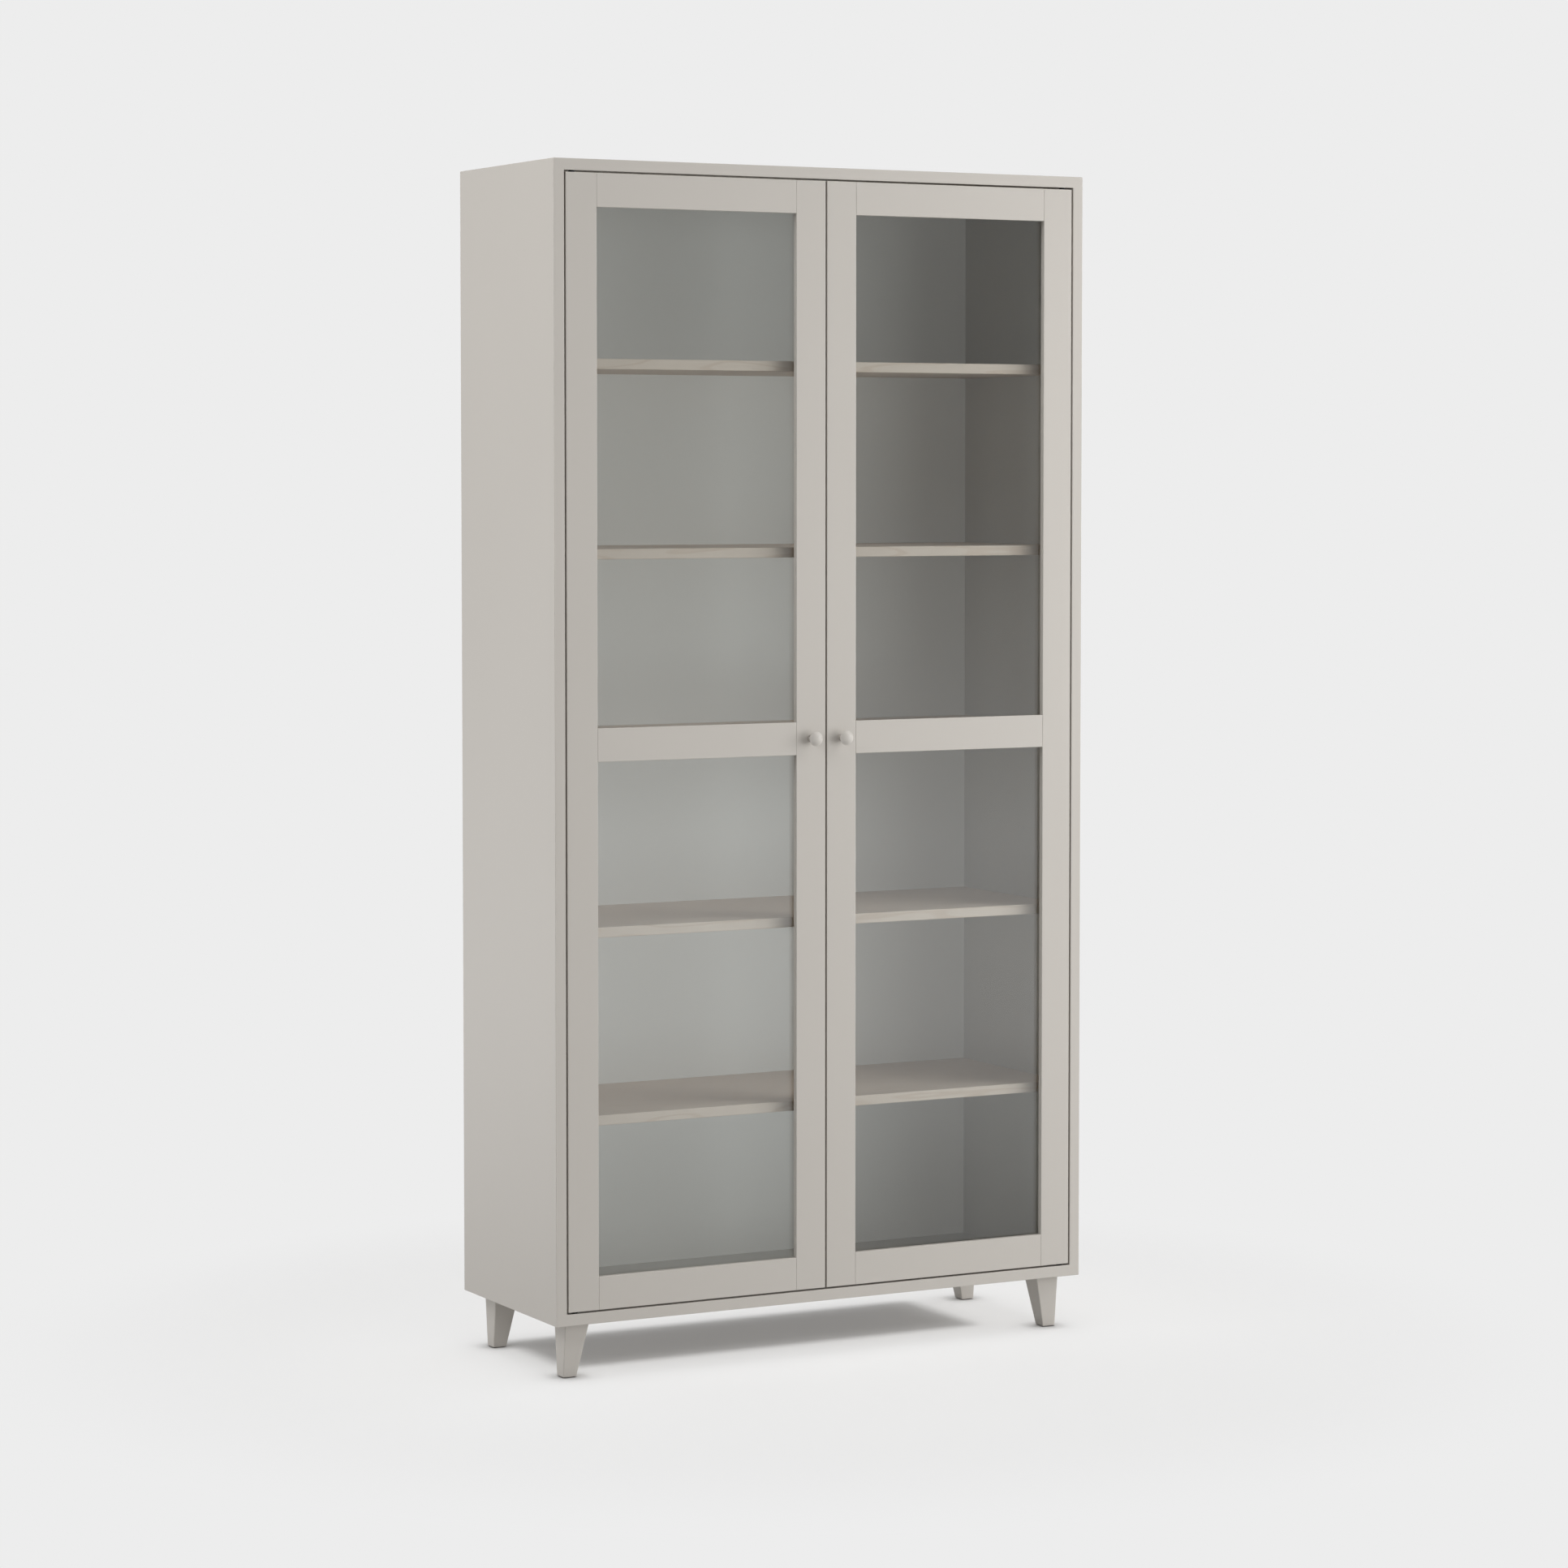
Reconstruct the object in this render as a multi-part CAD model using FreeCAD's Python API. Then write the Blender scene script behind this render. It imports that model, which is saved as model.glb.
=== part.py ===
import FreeCAD, Part
import math
import os

# A tall bookcase with two inset glass doors on concealed pivots.
# X is the width, Y runs from the front to the back and Z is up. The origin lies on the
# floor, under the middle of the whole bookcase. All sizes are in millimetres.

Vector = FreeCAD.Vector

# ---------------------------------------------------------------- driving dimensions

# Carcass: four lacquered boards, mitred at the corners into a box on four legs.
WIDTH = 1000.0
DEPTH = 372.0
CARCASS_HEIGHT = 1898.0
BOARD = 19.0
CARCASS_ROUND = 1.0
LEG_HEIGHT = 93.0

# Loose tongue that crosses each mitre.
TONGUE_WIDTH = 10.0
TONGUE_THICKNESS = 3.0
TONGUE_FROM_INSIDE = 7.2
TONGUE_STOP = 22.0

# Back panel, screwed into a rebate round the rear of the carcass.
BACK_THICKNESS = 6.0
BACK_RECESS = 2.0
REBATE_WIDTH = 9.0
BACK_SCREW_LENGTH = 16.0
BACK_SCREW_SHANK = 3.0
BACK_SCREW_HEAD = 6.0
BACK_SCREW_END = 60.0
BACK_SCREWS_UPRIGHT = 7
BACK_SCREWS_ACROSS = 5

# Loose shelves with a solid lipping, each on four pins that hide in its underside.
SHELF_COUNT = 5
SHELF_THICKNESS = 17.0
SHELF_SETBACK = 32.0
LIPPING_THICKNESS = 2.0
LIPPING_ROUND = 1.0
PIN_DIAMETER = 5.0
PIN_IN_BOARD = 9.0
PIN_IN_SHELF = 8.0
PIN_FROM_FRONT = 37.0
PIN_FROM_BACK = 50.0

# Legs: square at the top, tapered on three sides, upright on the outer side.
LEG_TOP = 44.0
LEG_FOOT = 24.5
LEG_FROM_SIDE = 27.5
LEG_FROM_FRONT = 24.5
LEG_ROUND = 2.0
LEG_BOLT_DIAMETER = 8.0
LEG_BOLT_IN_LEG = 35.0
LEG_BOLT_IN_INSERT = 11.0
INSERT_DIAMETER = 12.0
INSERT_LENGTH = 13.0
LEG_DOWEL_DIAMETER = 6.0
LEG_DOWEL_IN_LEG = 18.0
LEG_DOWEL_IN_BOARD = 12.0
LEG_DOWEL_OFFSET = 12.0
GLIDE_DIAMETER = 16.0
GLIDE_THICKNESS = 3.5
GLIDE_PROUD = 1.0
GLIDE_NAIL_DIAMETER = 3.0
GLIDE_NAIL_LENGTH = 12.0

# Doors: two stiles, three rails with stub tenons, two panes held by mitred beads.
DOOR_GAP = 3.0
DOOR_THICKNESS = 20.0
STILE_WIDTH = 55.0
RAIL_WIDTH = 55.0
FRAME_ROUND = 0.8
TENON_LENGTH = 12.0
TENON_THICKNESS = 7.0
TENON_SHOULDER = 12.0
TENON_FROM_FACE = 7.0
GLASS_FROM_FACE = 9.0
GLASS_THICKNESS = 4.0
GLASS_REBATE = 10.0
BEAD_SETBACK = 6.0

# Knobs: turned mushroom knobs, each drawn onto its stile by a screw from behind.
KNOB_PROJECTION = 24.0
KNOB_HEAD_DIAMETER = 24.4
KNOB_NECK_DIAMETER = 12.0
KNOB_WAIST_DIAMETER = 11.0
KNOB_WAIST_HEIGHT = 7.0
KNOB_RIM_HEIGHT = 18.4
KNOB_RIM_THICKNESS = 1.8
KNOB_SCREW_DIAMETER = 4.0
KNOB_SCREW_IN_KNOB = 10.0
KNOB_SCREW_HEAD_DIAMETER = 8.0
KNOB_SCREW_HEAD_HEIGHT = 2.4

# Pivots: a plate let into each end of the hinge stile, with a pin in a nylon bush.
PIVOT_FROM_EDGE = 14.0
PIVOT_FROM_FACE = 8.0
PIVOT_PIN_DIAMETER = 8.0
PIVOT_PIN_IN_BUSH = 9.0
PIVOT_COLLAR_DIAMETER = 11.0
PIVOT_PLATE_THICKNESS = 2.5
PIVOT_PLATE_WIDTH = 12.0
PIVOT_PLATE_LENGTH = 30.0
PIVOT_PLATE_OVERHANG = 7.0
PIVOT_SCREW_LENGTH = 20.0
PIVOT_SCREW_SHANK = 3.0
PIVOT_SCREW_HEAD = 6.0
PIVOT_SCREW_OFFSETS = (9.5, 17.5)
BUSH_DIAMETER = 13.0
BUSH_END_CLEARANCE = 1.0

# Double magnetic catch under the top board, and one steel strike on each door.
CATCH_WIDTH = 50.0
CATCH_DEPTH = 18.0
CATCH_DROP = 14.0
CATCH_EAR = 10.0
CATCH_EAR_THICKNESS = 3.0
CATCH_SCREW_LENGTH = 15.0
CATCH_SCREW_SHANK = 3.0
CATCH_SCREW_HEAD = 5.4
MAGNET_WIDTH = 12.0
MAGNET_HEIGHT = 6.0
MAGNET_LENGTH = 12.0
MAGNET_PROUD = 0.5
STRIKE_WIDTH = 14.0
STRIKE_HEIGHT = 9.0
STRIKE_THICKNESS = 1.5
STRIKE_FROM_EDGE = 5.5
STRIKE_FROM_TOP = 1.5
STRIKE_SCREW_LENGTH = 10.0
STRIKE_SCREW_SHANK = 2.5
STRIKE_SCREW_HEAD = 4.4

# Clearances.
GLUE_GAP = 0.1
PANEL_GAP = 0.5
SHELF_END_GAP = 0.8
SHELF_BACK_GAP = 0.8
PIN_SEAT_GAP = 0.05
SCREW_GAP = 0.1
RUNNING_GAP = 0.05
MOVING_GAP = 0.3
GLASS_EDGE_GAP = 0.8
SAME_PLACE = 1e-6

# ---------------------------------------------------------------- places worked out

LEFT = -WIDTH / 2.0
RIGHT = WIDTH / 2.0
FRONT = -(DEPTH + KNOB_PROJECTION) / 2.0 + KNOB_PROJECTION
BACK = FRONT + DEPTH
MIDDLE_Y = (FRONT + BACK) / 2.0
BASE = LEG_HEIGHT
TOP = BASE + CARCASS_HEIGHT

INNER_LEFT = LEFT + BOARD
INNER_RIGHT = RIGHT - BOARD
INNER_BASE = BASE + BOARD
INNER_TOP = TOP - BOARD
PANEL_FRONT = BACK - BACK_RECESS - BACK_THICKNESS
SHELF_PITCH = (INNER_TOP - INNER_BASE) / (SHELF_COUNT + 1)

DOOR_REAR = FRONT + DOOR_THICKNESS
DOOR_LEFT = INNER_LEFT + DOOR_GAP
DOOR_RIGHT = -DOOR_GAP / 2.0
DOOR_BASE = INNER_BASE + DOOR_GAP
DOOR_TOP = INNER_TOP - DOOR_GAP
MID_RAIL_Z = (INNER_BASE + INNER_TOP) / 2.0
OPENING_LEFT = DOOR_LEFT + STILE_WIDTH
OPENING_RIGHT = DOOR_RIGHT - STILE_WIDTH
UPPER_OPENING = (MID_RAIL_Z + RAIL_WIDTH / 2.0, DOOR_TOP - RAIL_WIDTH)
LOWER_OPENING = (DOOR_BASE + RAIL_WIDTH, MID_RAIL_Z - RAIL_WIDTH / 2.0)
GLASS_FRONT = FRONT + GLASS_FROM_FACE
GLASS_REAR = GLASS_FRONT + GLASS_THICKNESS
PIVOT_X = DOOR_LEFT + PIVOT_FROM_EDGE
PIVOT_Y = FRONT + PIVOT_FROM_FACE
BUSH_LENGTH = PIVOT_PIN_IN_BUSH + BUSH_END_CLEARANCE
KNOB_X = DOOR_RIGHT - STILE_WIDTH / 2.0
STRIKE_X = DOOR_RIGHT - STRIKE_FROM_EDGE - STRIKE_WIDTH / 2.0
STRIKE_Z = DOOR_TOP - STRIKE_FROM_TOP - STRIKE_HEIGHT / 2.0
MAGNET_FRONT = DOOR_REAR + STRIKE_THICKNESS + MOVING_GAP
CATCH_FRONT = MAGNET_FRONT + MAGNET_PROUD

LEG_OUTSIDE = LEFT + LEG_FROM_SIDE
LEG_X = LEG_OUTSIDE + LEG_TOP / 2.0
LEG_Y = FRONT + LEG_FROM_FRONT + LEG_TOP / 2.0

UP = Vector(0, 0, 1)
DOWN = Vector(0, 0, -1)
FORWARD = Vector(0, -1, 0)
BACKWARD = Vector(0, 1, 0)
SIDEWAYS = Vector(1, 0, 0)


# ---------------------------------------------------------------- ways of making shapes

def block(x0, x1, y0, y1, z0, z1):
    """A rectangular block between two opposite corners."""
    return Part.makeBox(x1 - x0, y1 - y0, z1 - z0, Vector(x0, y0, z0))


def rod(diameter, start, direction, length):
    """A round bar from a start point along a direction."""
    return Part.makeCylinder(diameter / 2.0, length, start, direction)


def one_solid(shape):
    """The single solid that a cut or a join leaves."""
    solids = shape.removeSplitter().Solids
    if len(solids) != 1:
        raise ValueError("expected one solid, found %d" % len(solids))
    return solids[0]


def mirrored_x(shape):
    """The same shape on the other side of the bookcase."""
    return shape.mirror(Vector(0, 0, 0), SIDEWAYS)


def mirrored_y(shape):
    """The same shape at the other end of the carcass depth."""
    return shape.mirror(Vector(0, MIDDLE_Y, 0), BACKWARD)


def in_all_corners(shape):
    """A shape from the front left corner, repeated in all four corners."""
    pair = [shape, mirrored_x(shape)]
    return pair + [mirrored_y(each) for each in pair]


def upside_down(shape, height):
    """The same shape turned over about a level plane."""
    return shape.mirror(Vector(0, 0, height), UP)


def rounded(shape, radius, wanted):
    """The shape with the wanted edges rounded."""
    return shape.makeFillet(radius, [edge for edge in shape.Edges if wanted(edge)])


def lies_on_y(edge, y):
    """True where a whole edge lies on one plane across the depth."""
    return all(abs(vertex.Y - y) < SAME_PLACE for vertex in edge.Vertexes)


def mitred_frame(x0, x1, z0, z1, width, y0, y1):
    """Four mitred strips round a rectangle: the lower, right, upper and left one."""
    outer = [(x0, z0), (x1, z0), (x1, z1), (x0, z1)]
    inner = [(x0 + width, z0 + width), (x1 - width, z0 + width),
             (x1 - width, z1 - width), (x0 + width, z1 - width)]
    strips = []
    for side in range(4):
        after = (side + 1) % 4
        outline = [outer[side], outer[after], inner[after], inner[side], outer[side]]
        wire = Part.makePolygon([Vector(x, y0, z) for x, z in outline])
        strips.append(Part.Face(wire).extrude(Vector(0, y1 - y0, 0)))
    return strips


def screw(point, direction, length, shank, head, grow=0.0):
    """A countersunk screw driven from a point. Grown, it is the hole that it needs."""
    cone = (head - shank) / 2.0
    profile = [(0, 0), (head / 2.0 + grow, 0), (shank / 2.0 + grow, cone),
               (shank / 2.0 + grow, length - shank), (0, length + grow), (0, 0)]
    outline = Part.makePolygon([Vector(radius, 0, height) for radius, height in profile])
    body = Part.Face(outline).revolve(Vector(0, 0, 0), UP, 360)
    if not grow:
        arm = shank / 3.0
        recess = block(-shank / 2.0, shank / 2.0, -arm / 2.0, arm / 2.0, 0, cone)
        recess = recess.fuse(block(-arm / 2.0, arm / 2.0, -shank / 2.0, shank / 2.0, 0, cone))
        body = body.cut(recess)
    body.Placement = FreeCAD.Placement(point, FreeCAD.Rotation(UP, direction))
    return body


def save(node, *solids):
    """Write one node: a single piece, or a group of like pieces."""
    shape = solids[0] if len(solids) == 1 else Part.makeCompound(list(solids))
    shape.exportStep("parts/%s.step" % node)


# ---------------------------------------------------------------- carcass

def tongue(corner_x, corner_z, inward_x, inward_z, grow):
    """The tongue across one mitre, or the slot for it when it is grown."""
    width = TONGUE_WIDTH + 2 * grow
    thickness = TONGUE_THICKNESS + 2 * grow
    length = DEPTH - 2 * TONGUE_STOP + 2 * grow
    bar = block(-width / 2.0, width / 2.0, -length / 2.0, length / 2.0,
                -thickness / 2.0, thickness / 2.0)
    turn = FreeCAD.Rotation(BACKWARD, 45.0 * inward_x * inward_z)
    inset = BOARD - TONGUE_FROM_INSIDE
    place = Vector(corner_x + inward_x * inset, MIDDLE_Y, corner_z + inward_z * inset)
    bar.Placement = FreeCAD.Placement(place, turn)
    return bar


def tongues(grow=0.0):
    """The four tongues, or their slots."""
    corners = [(LEFT, BASE, 1, 1), (RIGHT, BASE, -1, 1), (RIGHT, TOP, -1, -1), (LEFT, TOP, 1, -1)]
    return [tongue(*corner, grow) for corner in corners]


def back_screws(grow=0.0):
    """Screws round the back panel, in the middle of the rebate, or their holes."""
    inset = REBATE_WIDTH / 2.0
    xs = (INNER_LEFT - inset, INNER_RIGHT + inset)
    zs = (INNER_BASE - inset, INNER_TOP + inset)
    head_y = PANEL_FRONT + BACK_THICKNESS
    low = INNER_BASE + BACK_SCREW_END
    high = INNER_TOP - BACK_SCREW_END
    places = []
    for index in range(BACK_SCREWS_UPRIGHT):
        z = low + (high - low) * index / (BACK_SCREWS_UPRIGHT - 1)
        places += [(x, z) for x in xs]
    near = INNER_LEFT + BACK_SCREW_END
    for index in range(BACK_SCREWS_ACROSS):
        x = near * (1 - 2.0 * index / (BACK_SCREWS_ACROSS - 1))
        places += [(x, z) for z in zs]
    return [screw(Vector(x, head_y, z), FORWARD, BACK_SCREW_LENGTH,
                  BACK_SCREW_SHANK, BACK_SCREW_HEAD, grow) for x, z in places]


def bush_places():
    """Where each door pivots: the mouth of each bush and the way into the board."""
    places = []
    for x in (PIVOT_X, -PIVOT_X):
        places.append((Vector(x, PIVOT_Y, INNER_BASE), DOWN))
        places.append((Vector(x, PIVOT_Y, INNER_TOP), UP))
    return places


def pivot_bushes():
    """Nylon bushes, flush with the board faces, that the pivot pins turn in."""
    bushes = []
    for mouth, inward in bush_places():
        bush = rod(BUSH_DIAMETER, mouth, inward, BUSH_LENGTH)
        bushes.append(bush.cut(rod(PIVOT_PIN_DIAMETER + 2 * RUNNING_GAP, mouth, inward, BUSH_LENGTH)))
    return bushes


def bush_holes():
    """Blind holes for the bushes in the top and bottom boards."""
    return [rod(BUSH_DIAMETER + 2 * GLUE_GAP, mouth, inward, BUSH_LENGTH + GLUE_GAP)
            for mouth, inward in bush_places()]


def shelf_base(index):
    """Height of the underside of one shelf. The shelves divide the inside evenly."""
    return INNER_BASE + SHELF_PITCH * (index + 1) - SHELF_THICKNESS / 2.0


def pin_places():
    """Where each pin leaves its side board: a point and the way into the shelf."""
    ys = (FRONT + SHELF_SETBACK + PIN_FROM_FRONT, PANEL_FRONT - PIN_FROM_BACK)
    places = []
    for index in range(SHELF_COUNT):
        z = shelf_base(index) + PIN_DIAMETER / 2.0 + GLUE_GAP
        for y in ys:
            places.append((Vector(INNER_LEFT, y, z), SIDEWAYS))
            places.append((Vector(INNER_RIGHT, y, z), SIDEWAYS * -1))
    return places


def shelf_pins():
    """Plain steel pins, half in the side board and half in the shelf."""
    return [rod(PIN_DIAMETER, mouth - inward * PIN_IN_BOARD, inward, PIN_IN_BOARD + PIN_IN_SHELF)
            for mouth, inward in pin_places()]


def pin_holes():
    """Blind holes for the pins in the side boards."""
    return [rod(PIN_DIAMETER + 2 * SCREW_GAP, mouth - inward * (PIN_IN_BOARD + GLUE_GAP),
                inward, PIN_IN_BOARD + GLUE_GAP) for mouth, inward in pin_places()]


def rebate():
    """The space that the back panel takes out of the rear of the boards."""
    return block(INNER_LEFT - REBATE_WIDTH, INNER_RIGHT + REBATE_WIDTH, PANEL_FRONT, BACK,
                 INNER_BASE - REBATE_WIDTH, INNER_TOP + REBATE_WIDTH)


def carcass_boards():
    """The bottom, right, top and left boards, rounded where they can be touched."""
    outside = block(LEFT, RIGHT, FRONT, BACK, BASE, TOP)
    outside = outside.makeFillet(CARCASS_ROUND, outside.Edges)
    slots = tongues(GLUE_GAP) + [rebate()]
    bottom_holes = bush_holes() + leg_holes_in_board() + back_screws(SCREW_GAP)
    top_holes = bush_holes() + catch_screws(SCREW_GAP) + back_screws(SCREW_GAP)
    side_holes = pin_holes() + back_screws(SCREW_GAP)
    holes = [bottom_holes, side_holes, top_holes, side_holes]
    boards = []
    for strip, own_holes in zip(mitred_frame(LEFT, RIGHT, BASE, TOP, BOARD, FRONT, BACK), holes):
        strip = rounded(strip, CARCASS_ROUND, is_inner_front_edge)
        strip = strip.common(outside)
        near = [hole for hole in slots + own_holes if strip.BoundBox.intersect(hole.BoundBox)]
        boards.append(one_solid(strip.cut(near)))
    return boards


def is_inner_front_edge(edge):
    """True for a board's front edge along the door opening."""
    if not lies_on_y(edge, FRONT):
        return False
    middle = edge.CenterOfMass
    inside_x = INNER_LEFT - SAME_PLACE < middle.x < INNER_RIGHT + SAME_PLACE
    inside_z = INNER_BASE - SAME_PLACE < middle.z < INNER_TOP + SAME_PLACE
    return inside_x and inside_z


def back_panel():
    """Thin lacquered panel that closes the rear and keeps the carcass square."""
    edge = REBATE_WIDTH - PANEL_GAP
    panel = block(INNER_LEFT - edge, INNER_RIGHT + edge, PANEL_FRONT, PANEL_FRONT + BACK_THICKNESS,
                  INNER_BASE - edge, INNER_TOP + edge)
    return one_solid(panel.cut(back_screws(SCREW_GAP)))


# ---------------------------------------------------------------- shelves

def shelf(index):
    """A veneered board with a blind slot over each pin."""
    low = shelf_base(index)
    board = block(INNER_LEFT + SHELF_END_GAP, INNER_RIGHT - SHELF_END_GAP,
                  FRONT + SHELF_SETBACK + LIPPING_THICKNESS, PANEL_FRONT - SHELF_BACK_GAP,
                  low, low + SHELF_THICKNESS)
    half = PIN_DIAMETER / 2.0 + SCREW_GAP
    for mouth, inward in pin_places():
        if abs(mouth.z - low) > SHELF_THICKNESS:
            continue
        end = mouth.x + inward.x * (PIN_IN_SHELF + GLUE_GAP)
        slot_top = mouth.z + PIN_DIAMETER / 2.0 + PIN_SEAT_GAP
        board = board.cut(block(min(mouth.x, end), max(mouth.x, end), mouth.y - half,
                                mouth.y + half, low, slot_top))
    return one_solid(board)


def lipping(index):
    """Solid wood strip glued along the front of a shelf, with its front edges eased."""
    low = shelf_base(index)
    front = FRONT + SHELF_SETBACK
    strip = block(INNER_LEFT + SHELF_END_GAP, INNER_RIGHT - SHELF_END_GAP,
                  front, front + LIPPING_THICKNESS, low, low + SHELF_THICKNESS)
    return rounded(strip, LIPPING_ROUND,
                   lambda edge: lies_on_y(edge, front) and edge.Length > SHELF_THICKNESS)


# ---------------------------------------------------------------- legs

def tapered_body():
    """The leg's outer form: upright on its outer side, tapered on the other three."""
    top = LEG_TOP / 2.0
    foot = LEG_FOOT / 2.0
    wedge = Part.makeWedge(0, 0, -foot, -top, 0, LEG_FOOT, BASE - GLIDE_PROUD, foot, top, LEG_TOP)
    wedge.Placement = FreeCAD.Placement(Vector(LEG_OUTSIDE, LEG_Y, GLIDE_PROUD),
                                        FreeCAD.Rotation(SIDEWAYS, 90))
    return wedge


def leg():
    """The front left leg: solid wood, with holes for its bolt, dowel and glide."""
    body = rounded(tapered_body(), LEG_ROUND,
                   lambda edge: min(vertex.Z for vertex in edge.Vertexes) < BASE - LEG_ROUND)
    seat = Vector(LEG_X, LEG_Y, BASE)
    foot = Vector(LEG_OUTSIDE + LEG_FOOT / 2.0, LEG_Y, GLIDE_PROUD)
    recess = GLIDE_THICKNESS - GLIDE_PROUD + GLUE_GAP
    nail = GLIDE_THICKNESS - GLIDE_PROUD + GLIDE_NAIL_LENGTH + GLUE_GAP
    holes = [rod(LEG_BOLT_DIAMETER + 2 * SCREW_GAP, seat, DOWN, LEG_BOLT_IN_LEG + GLUE_GAP),
             rod(LEG_DOWEL_DIAMETER + 2 * GLUE_GAP, seat + BACKWARD * LEG_DOWEL_OFFSET, DOWN,
                 LEG_DOWEL_IN_LEG + GLUE_GAP),
             rod(GLIDE_DIAMETER + 2 * GLUE_GAP, foot, UP, recess),
             rod(GLIDE_NAIL_DIAMETER + 2 * GLUE_GAP, foot, UP, nail)]
    return one_solid(body.cut(holes))


def leg_insert():
    """Threaded steel insert, sunk in the underside of the bottom board."""
    seat = Vector(LEG_X, LEG_Y, BASE)
    sleeve = rod(INSERT_DIAMETER, seat, UP, INSERT_LENGTH)
    return sleeve.cut(rod(LEG_BOLT_DIAMETER + 2 * SCREW_GAP, seat, UP, INSERT_LENGTH))


def leg_bolt():
    """Double-ended bolt, screwed into the leg and into the insert."""
    start = Vector(LEG_X, LEG_Y, BASE - LEG_BOLT_IN_LEG)
    return rod(LEG_BOLT_DIAMETER, start, UP, LEG_BOLT_IN_LEG + LEG_BOLT_IN_INSERT)


def leg_dowel():
    """Beech dowel that stops the leg from turning on its bolt."""
    start = Vector(LEG_X, LEG_Y + LEG_DOWEL_OFFSET, BASE - LEG_DOWEL_IN_LEG)
    return rod(LEG_DOWEL_DIAMETER, start, UP, LEG_DOWEL_IN_LEG + LEG_DOWEL_IN_BOARD)


def leg_glide():
    """Nylon glide, nailed into a shallow recess so that only its face stands proud."""
    place = Vector(LEG_OUTSIDE + LEG_FOOT / 2.0, LEG_Y, 0)
    disc = rod(GLIDE_DIAMETER, place, UP, GLIDE_THICKNESS)
    nail = rod(GLIDE_NAIL_DIAMETER, place, UP, GLIDE_THICKNESS + GLIDE_NAIL_LENGTH)
    return one_solid(disc.fuse(nail))


def leg_holes_in_board():
    """Blind holes in the bottom board for all inserts and leg dowels."""
    seat = Vector(LEG_X, LEG_Y, BASE)
    insert = rod(INSERT_DIAMETER + 2 * GLUE_GAP, seat, UP, INSERT_LENGTH + GLUE_GAP)
    dowel = rod(LEG_DOWEL_DIAMETER + 2 * GLUE_GAP, seat + BACKWARD * LEG_DOWEL_OFFSET, UP,
                LEG_DOWEL_IN_BOARD + GLUE_GAP)
    return in_all_corners(insert) + in_all_corners(dowel)


# ---------------------------------------------------------------- magnetic catch

def magnets(grow=0.0):
    """One magnet for each door, or the pockets for them."""
    magnet = block(STRIKE_X - MAGNET_WIDTH / 2.0 - grow, STRIKE_X + MAGNET_WIDTH / 2.0 + grow,
                   MAGNET_FRONT, MAGNET_FRONT + MAGNET_LENGTH + grow,
                   STRIKE_Z - MAGNET_HEIGHT / 2.0 - grow, STRIKE_Z + MAGNET_HEIGHT / 2.0 + grow)
    return [magnet, mirrored_x(magnet)]


def catch_screws(grow=0.0):
    """Two screws up through the ears of the catch, or their holes."""
    place = Vector(-(CATCH_WIDTH + CATCH_EAR) / 2.0, CATCH_FRONT + CATCH_DEPTH / 2.0,
                   INNER_TOP - CATCH_EAR_THICKNESS)
    each = screw(place, UP, CATCH_SCREW_LENGTH, CATCH_SCREW_SHANK, CATCH_SCREW_HEAD, grow)
    return [each, mirrored_x(each)]


def catch_housing():
    """Moulded housing with an ear at each end, under the middle of the top board."""
    rear = CATCH_FRONT + CATCH_DEPTH
    half = CATCH_WIDTH / 2.0
    body = block(-half, half, CATCH_FRONT, rear, INNER_TOP - CATCH_DROP, INNER_TOP)
    ears = block(-half - CATCH_EAR, half + CATCH_EAR, CATCH_FRONT, rear,
                 INNER_TOP - CATCH_EAR_THICKNESS, INNER_TOP)
    return one_solid(body.fuse(ears).cut(magnets(GLUE_GAP) + catch_screws(SCREW_GAP)))


# ---------------------------------------------------------------- left door

def frame_bar(x0, x1, z0, z1):
    """A door member with the edges of its front and rear faces eased."""
    bar = block(x0, x1, FRONT, DOOR_REAR, z0, z1)
    return rounded(bar, FRAME_ROUND,
                   lambda edge: lies_on_y(edge, FRONT) or lies_on_y(edge, DOOR_REAR))


def rail_spans():
    """The lower and upper edge of the bottom, middle and top rails."""
    return [(DOOR_BASE, DOOR_BASE + RAIL_WIDTH),
            (MID_RAIL_Z - RAIL_WIDTH / 2.0, MID_RAIL_Z + RAIL_WIDTH / 2.0),
            (DOOR_TOP - RAIL_WIDTH, DOOR_TOP)]


def tenons(low, high, grow=0.0):
    """The stub tenons at both ends of one rail, or their mortises."""
    y0 = FRONT + TENON_FROM_FACE - grow
    y1 = y0 + TENON_THICKNESS + 2 * grow
    z0 = low + TENON_SHOULDER - grow
    z1 = high - TENON_SHOULDER + grow
    reach = TENON_LENGTH + grow
    return [block(OPENING_LEFT - reach, OPENING_LEFT, y0, y1, z0, z1),
            block(OPENING_RIGHT, OPENING_RIGHT + reach, y0, y1, z0, z1)]


def glass_pockets():
    """The rebates for both panes, cut into the rear of the whole frame."""
    return [block(OPENING_LEFT - GLASS_REBATE, OPENING_RIGHT + GLASS_REBATE, GLASS_FRONT,
                  DOOR_REAR, low - GLASS_REBATE, high + GLASS_REBATE)
            for low, high in (LOWER_OPENING, UPPER_OPENING)]


def rail(low, high):
    """A rail between the stiles, with its tenons and the rebate for the glass."""
    bar = frame_bar(OPENING_LEFT, OPENING_RIGHT, low, high)
    return one_solid(bar.fuse(tenons(low, high)).cut(glass_pockets()))


def all_mortises():
    """The mortises for all three rails."""
    return [each for low, high in rail_spans() for each in tenons(low, high, GLUE_GAP)]


def pane(low, high):
    """A flat pane that lies against the front lip of the rebate."""
    edge = GLASS_REBATE - GLASS_EDGE_GAP
    return block(OPENING_LEFT - edge, OPENING_RIGHT + edge, GLASS_FRONT, GLASS_REAR,
                 low - edge, high + edge)


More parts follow.
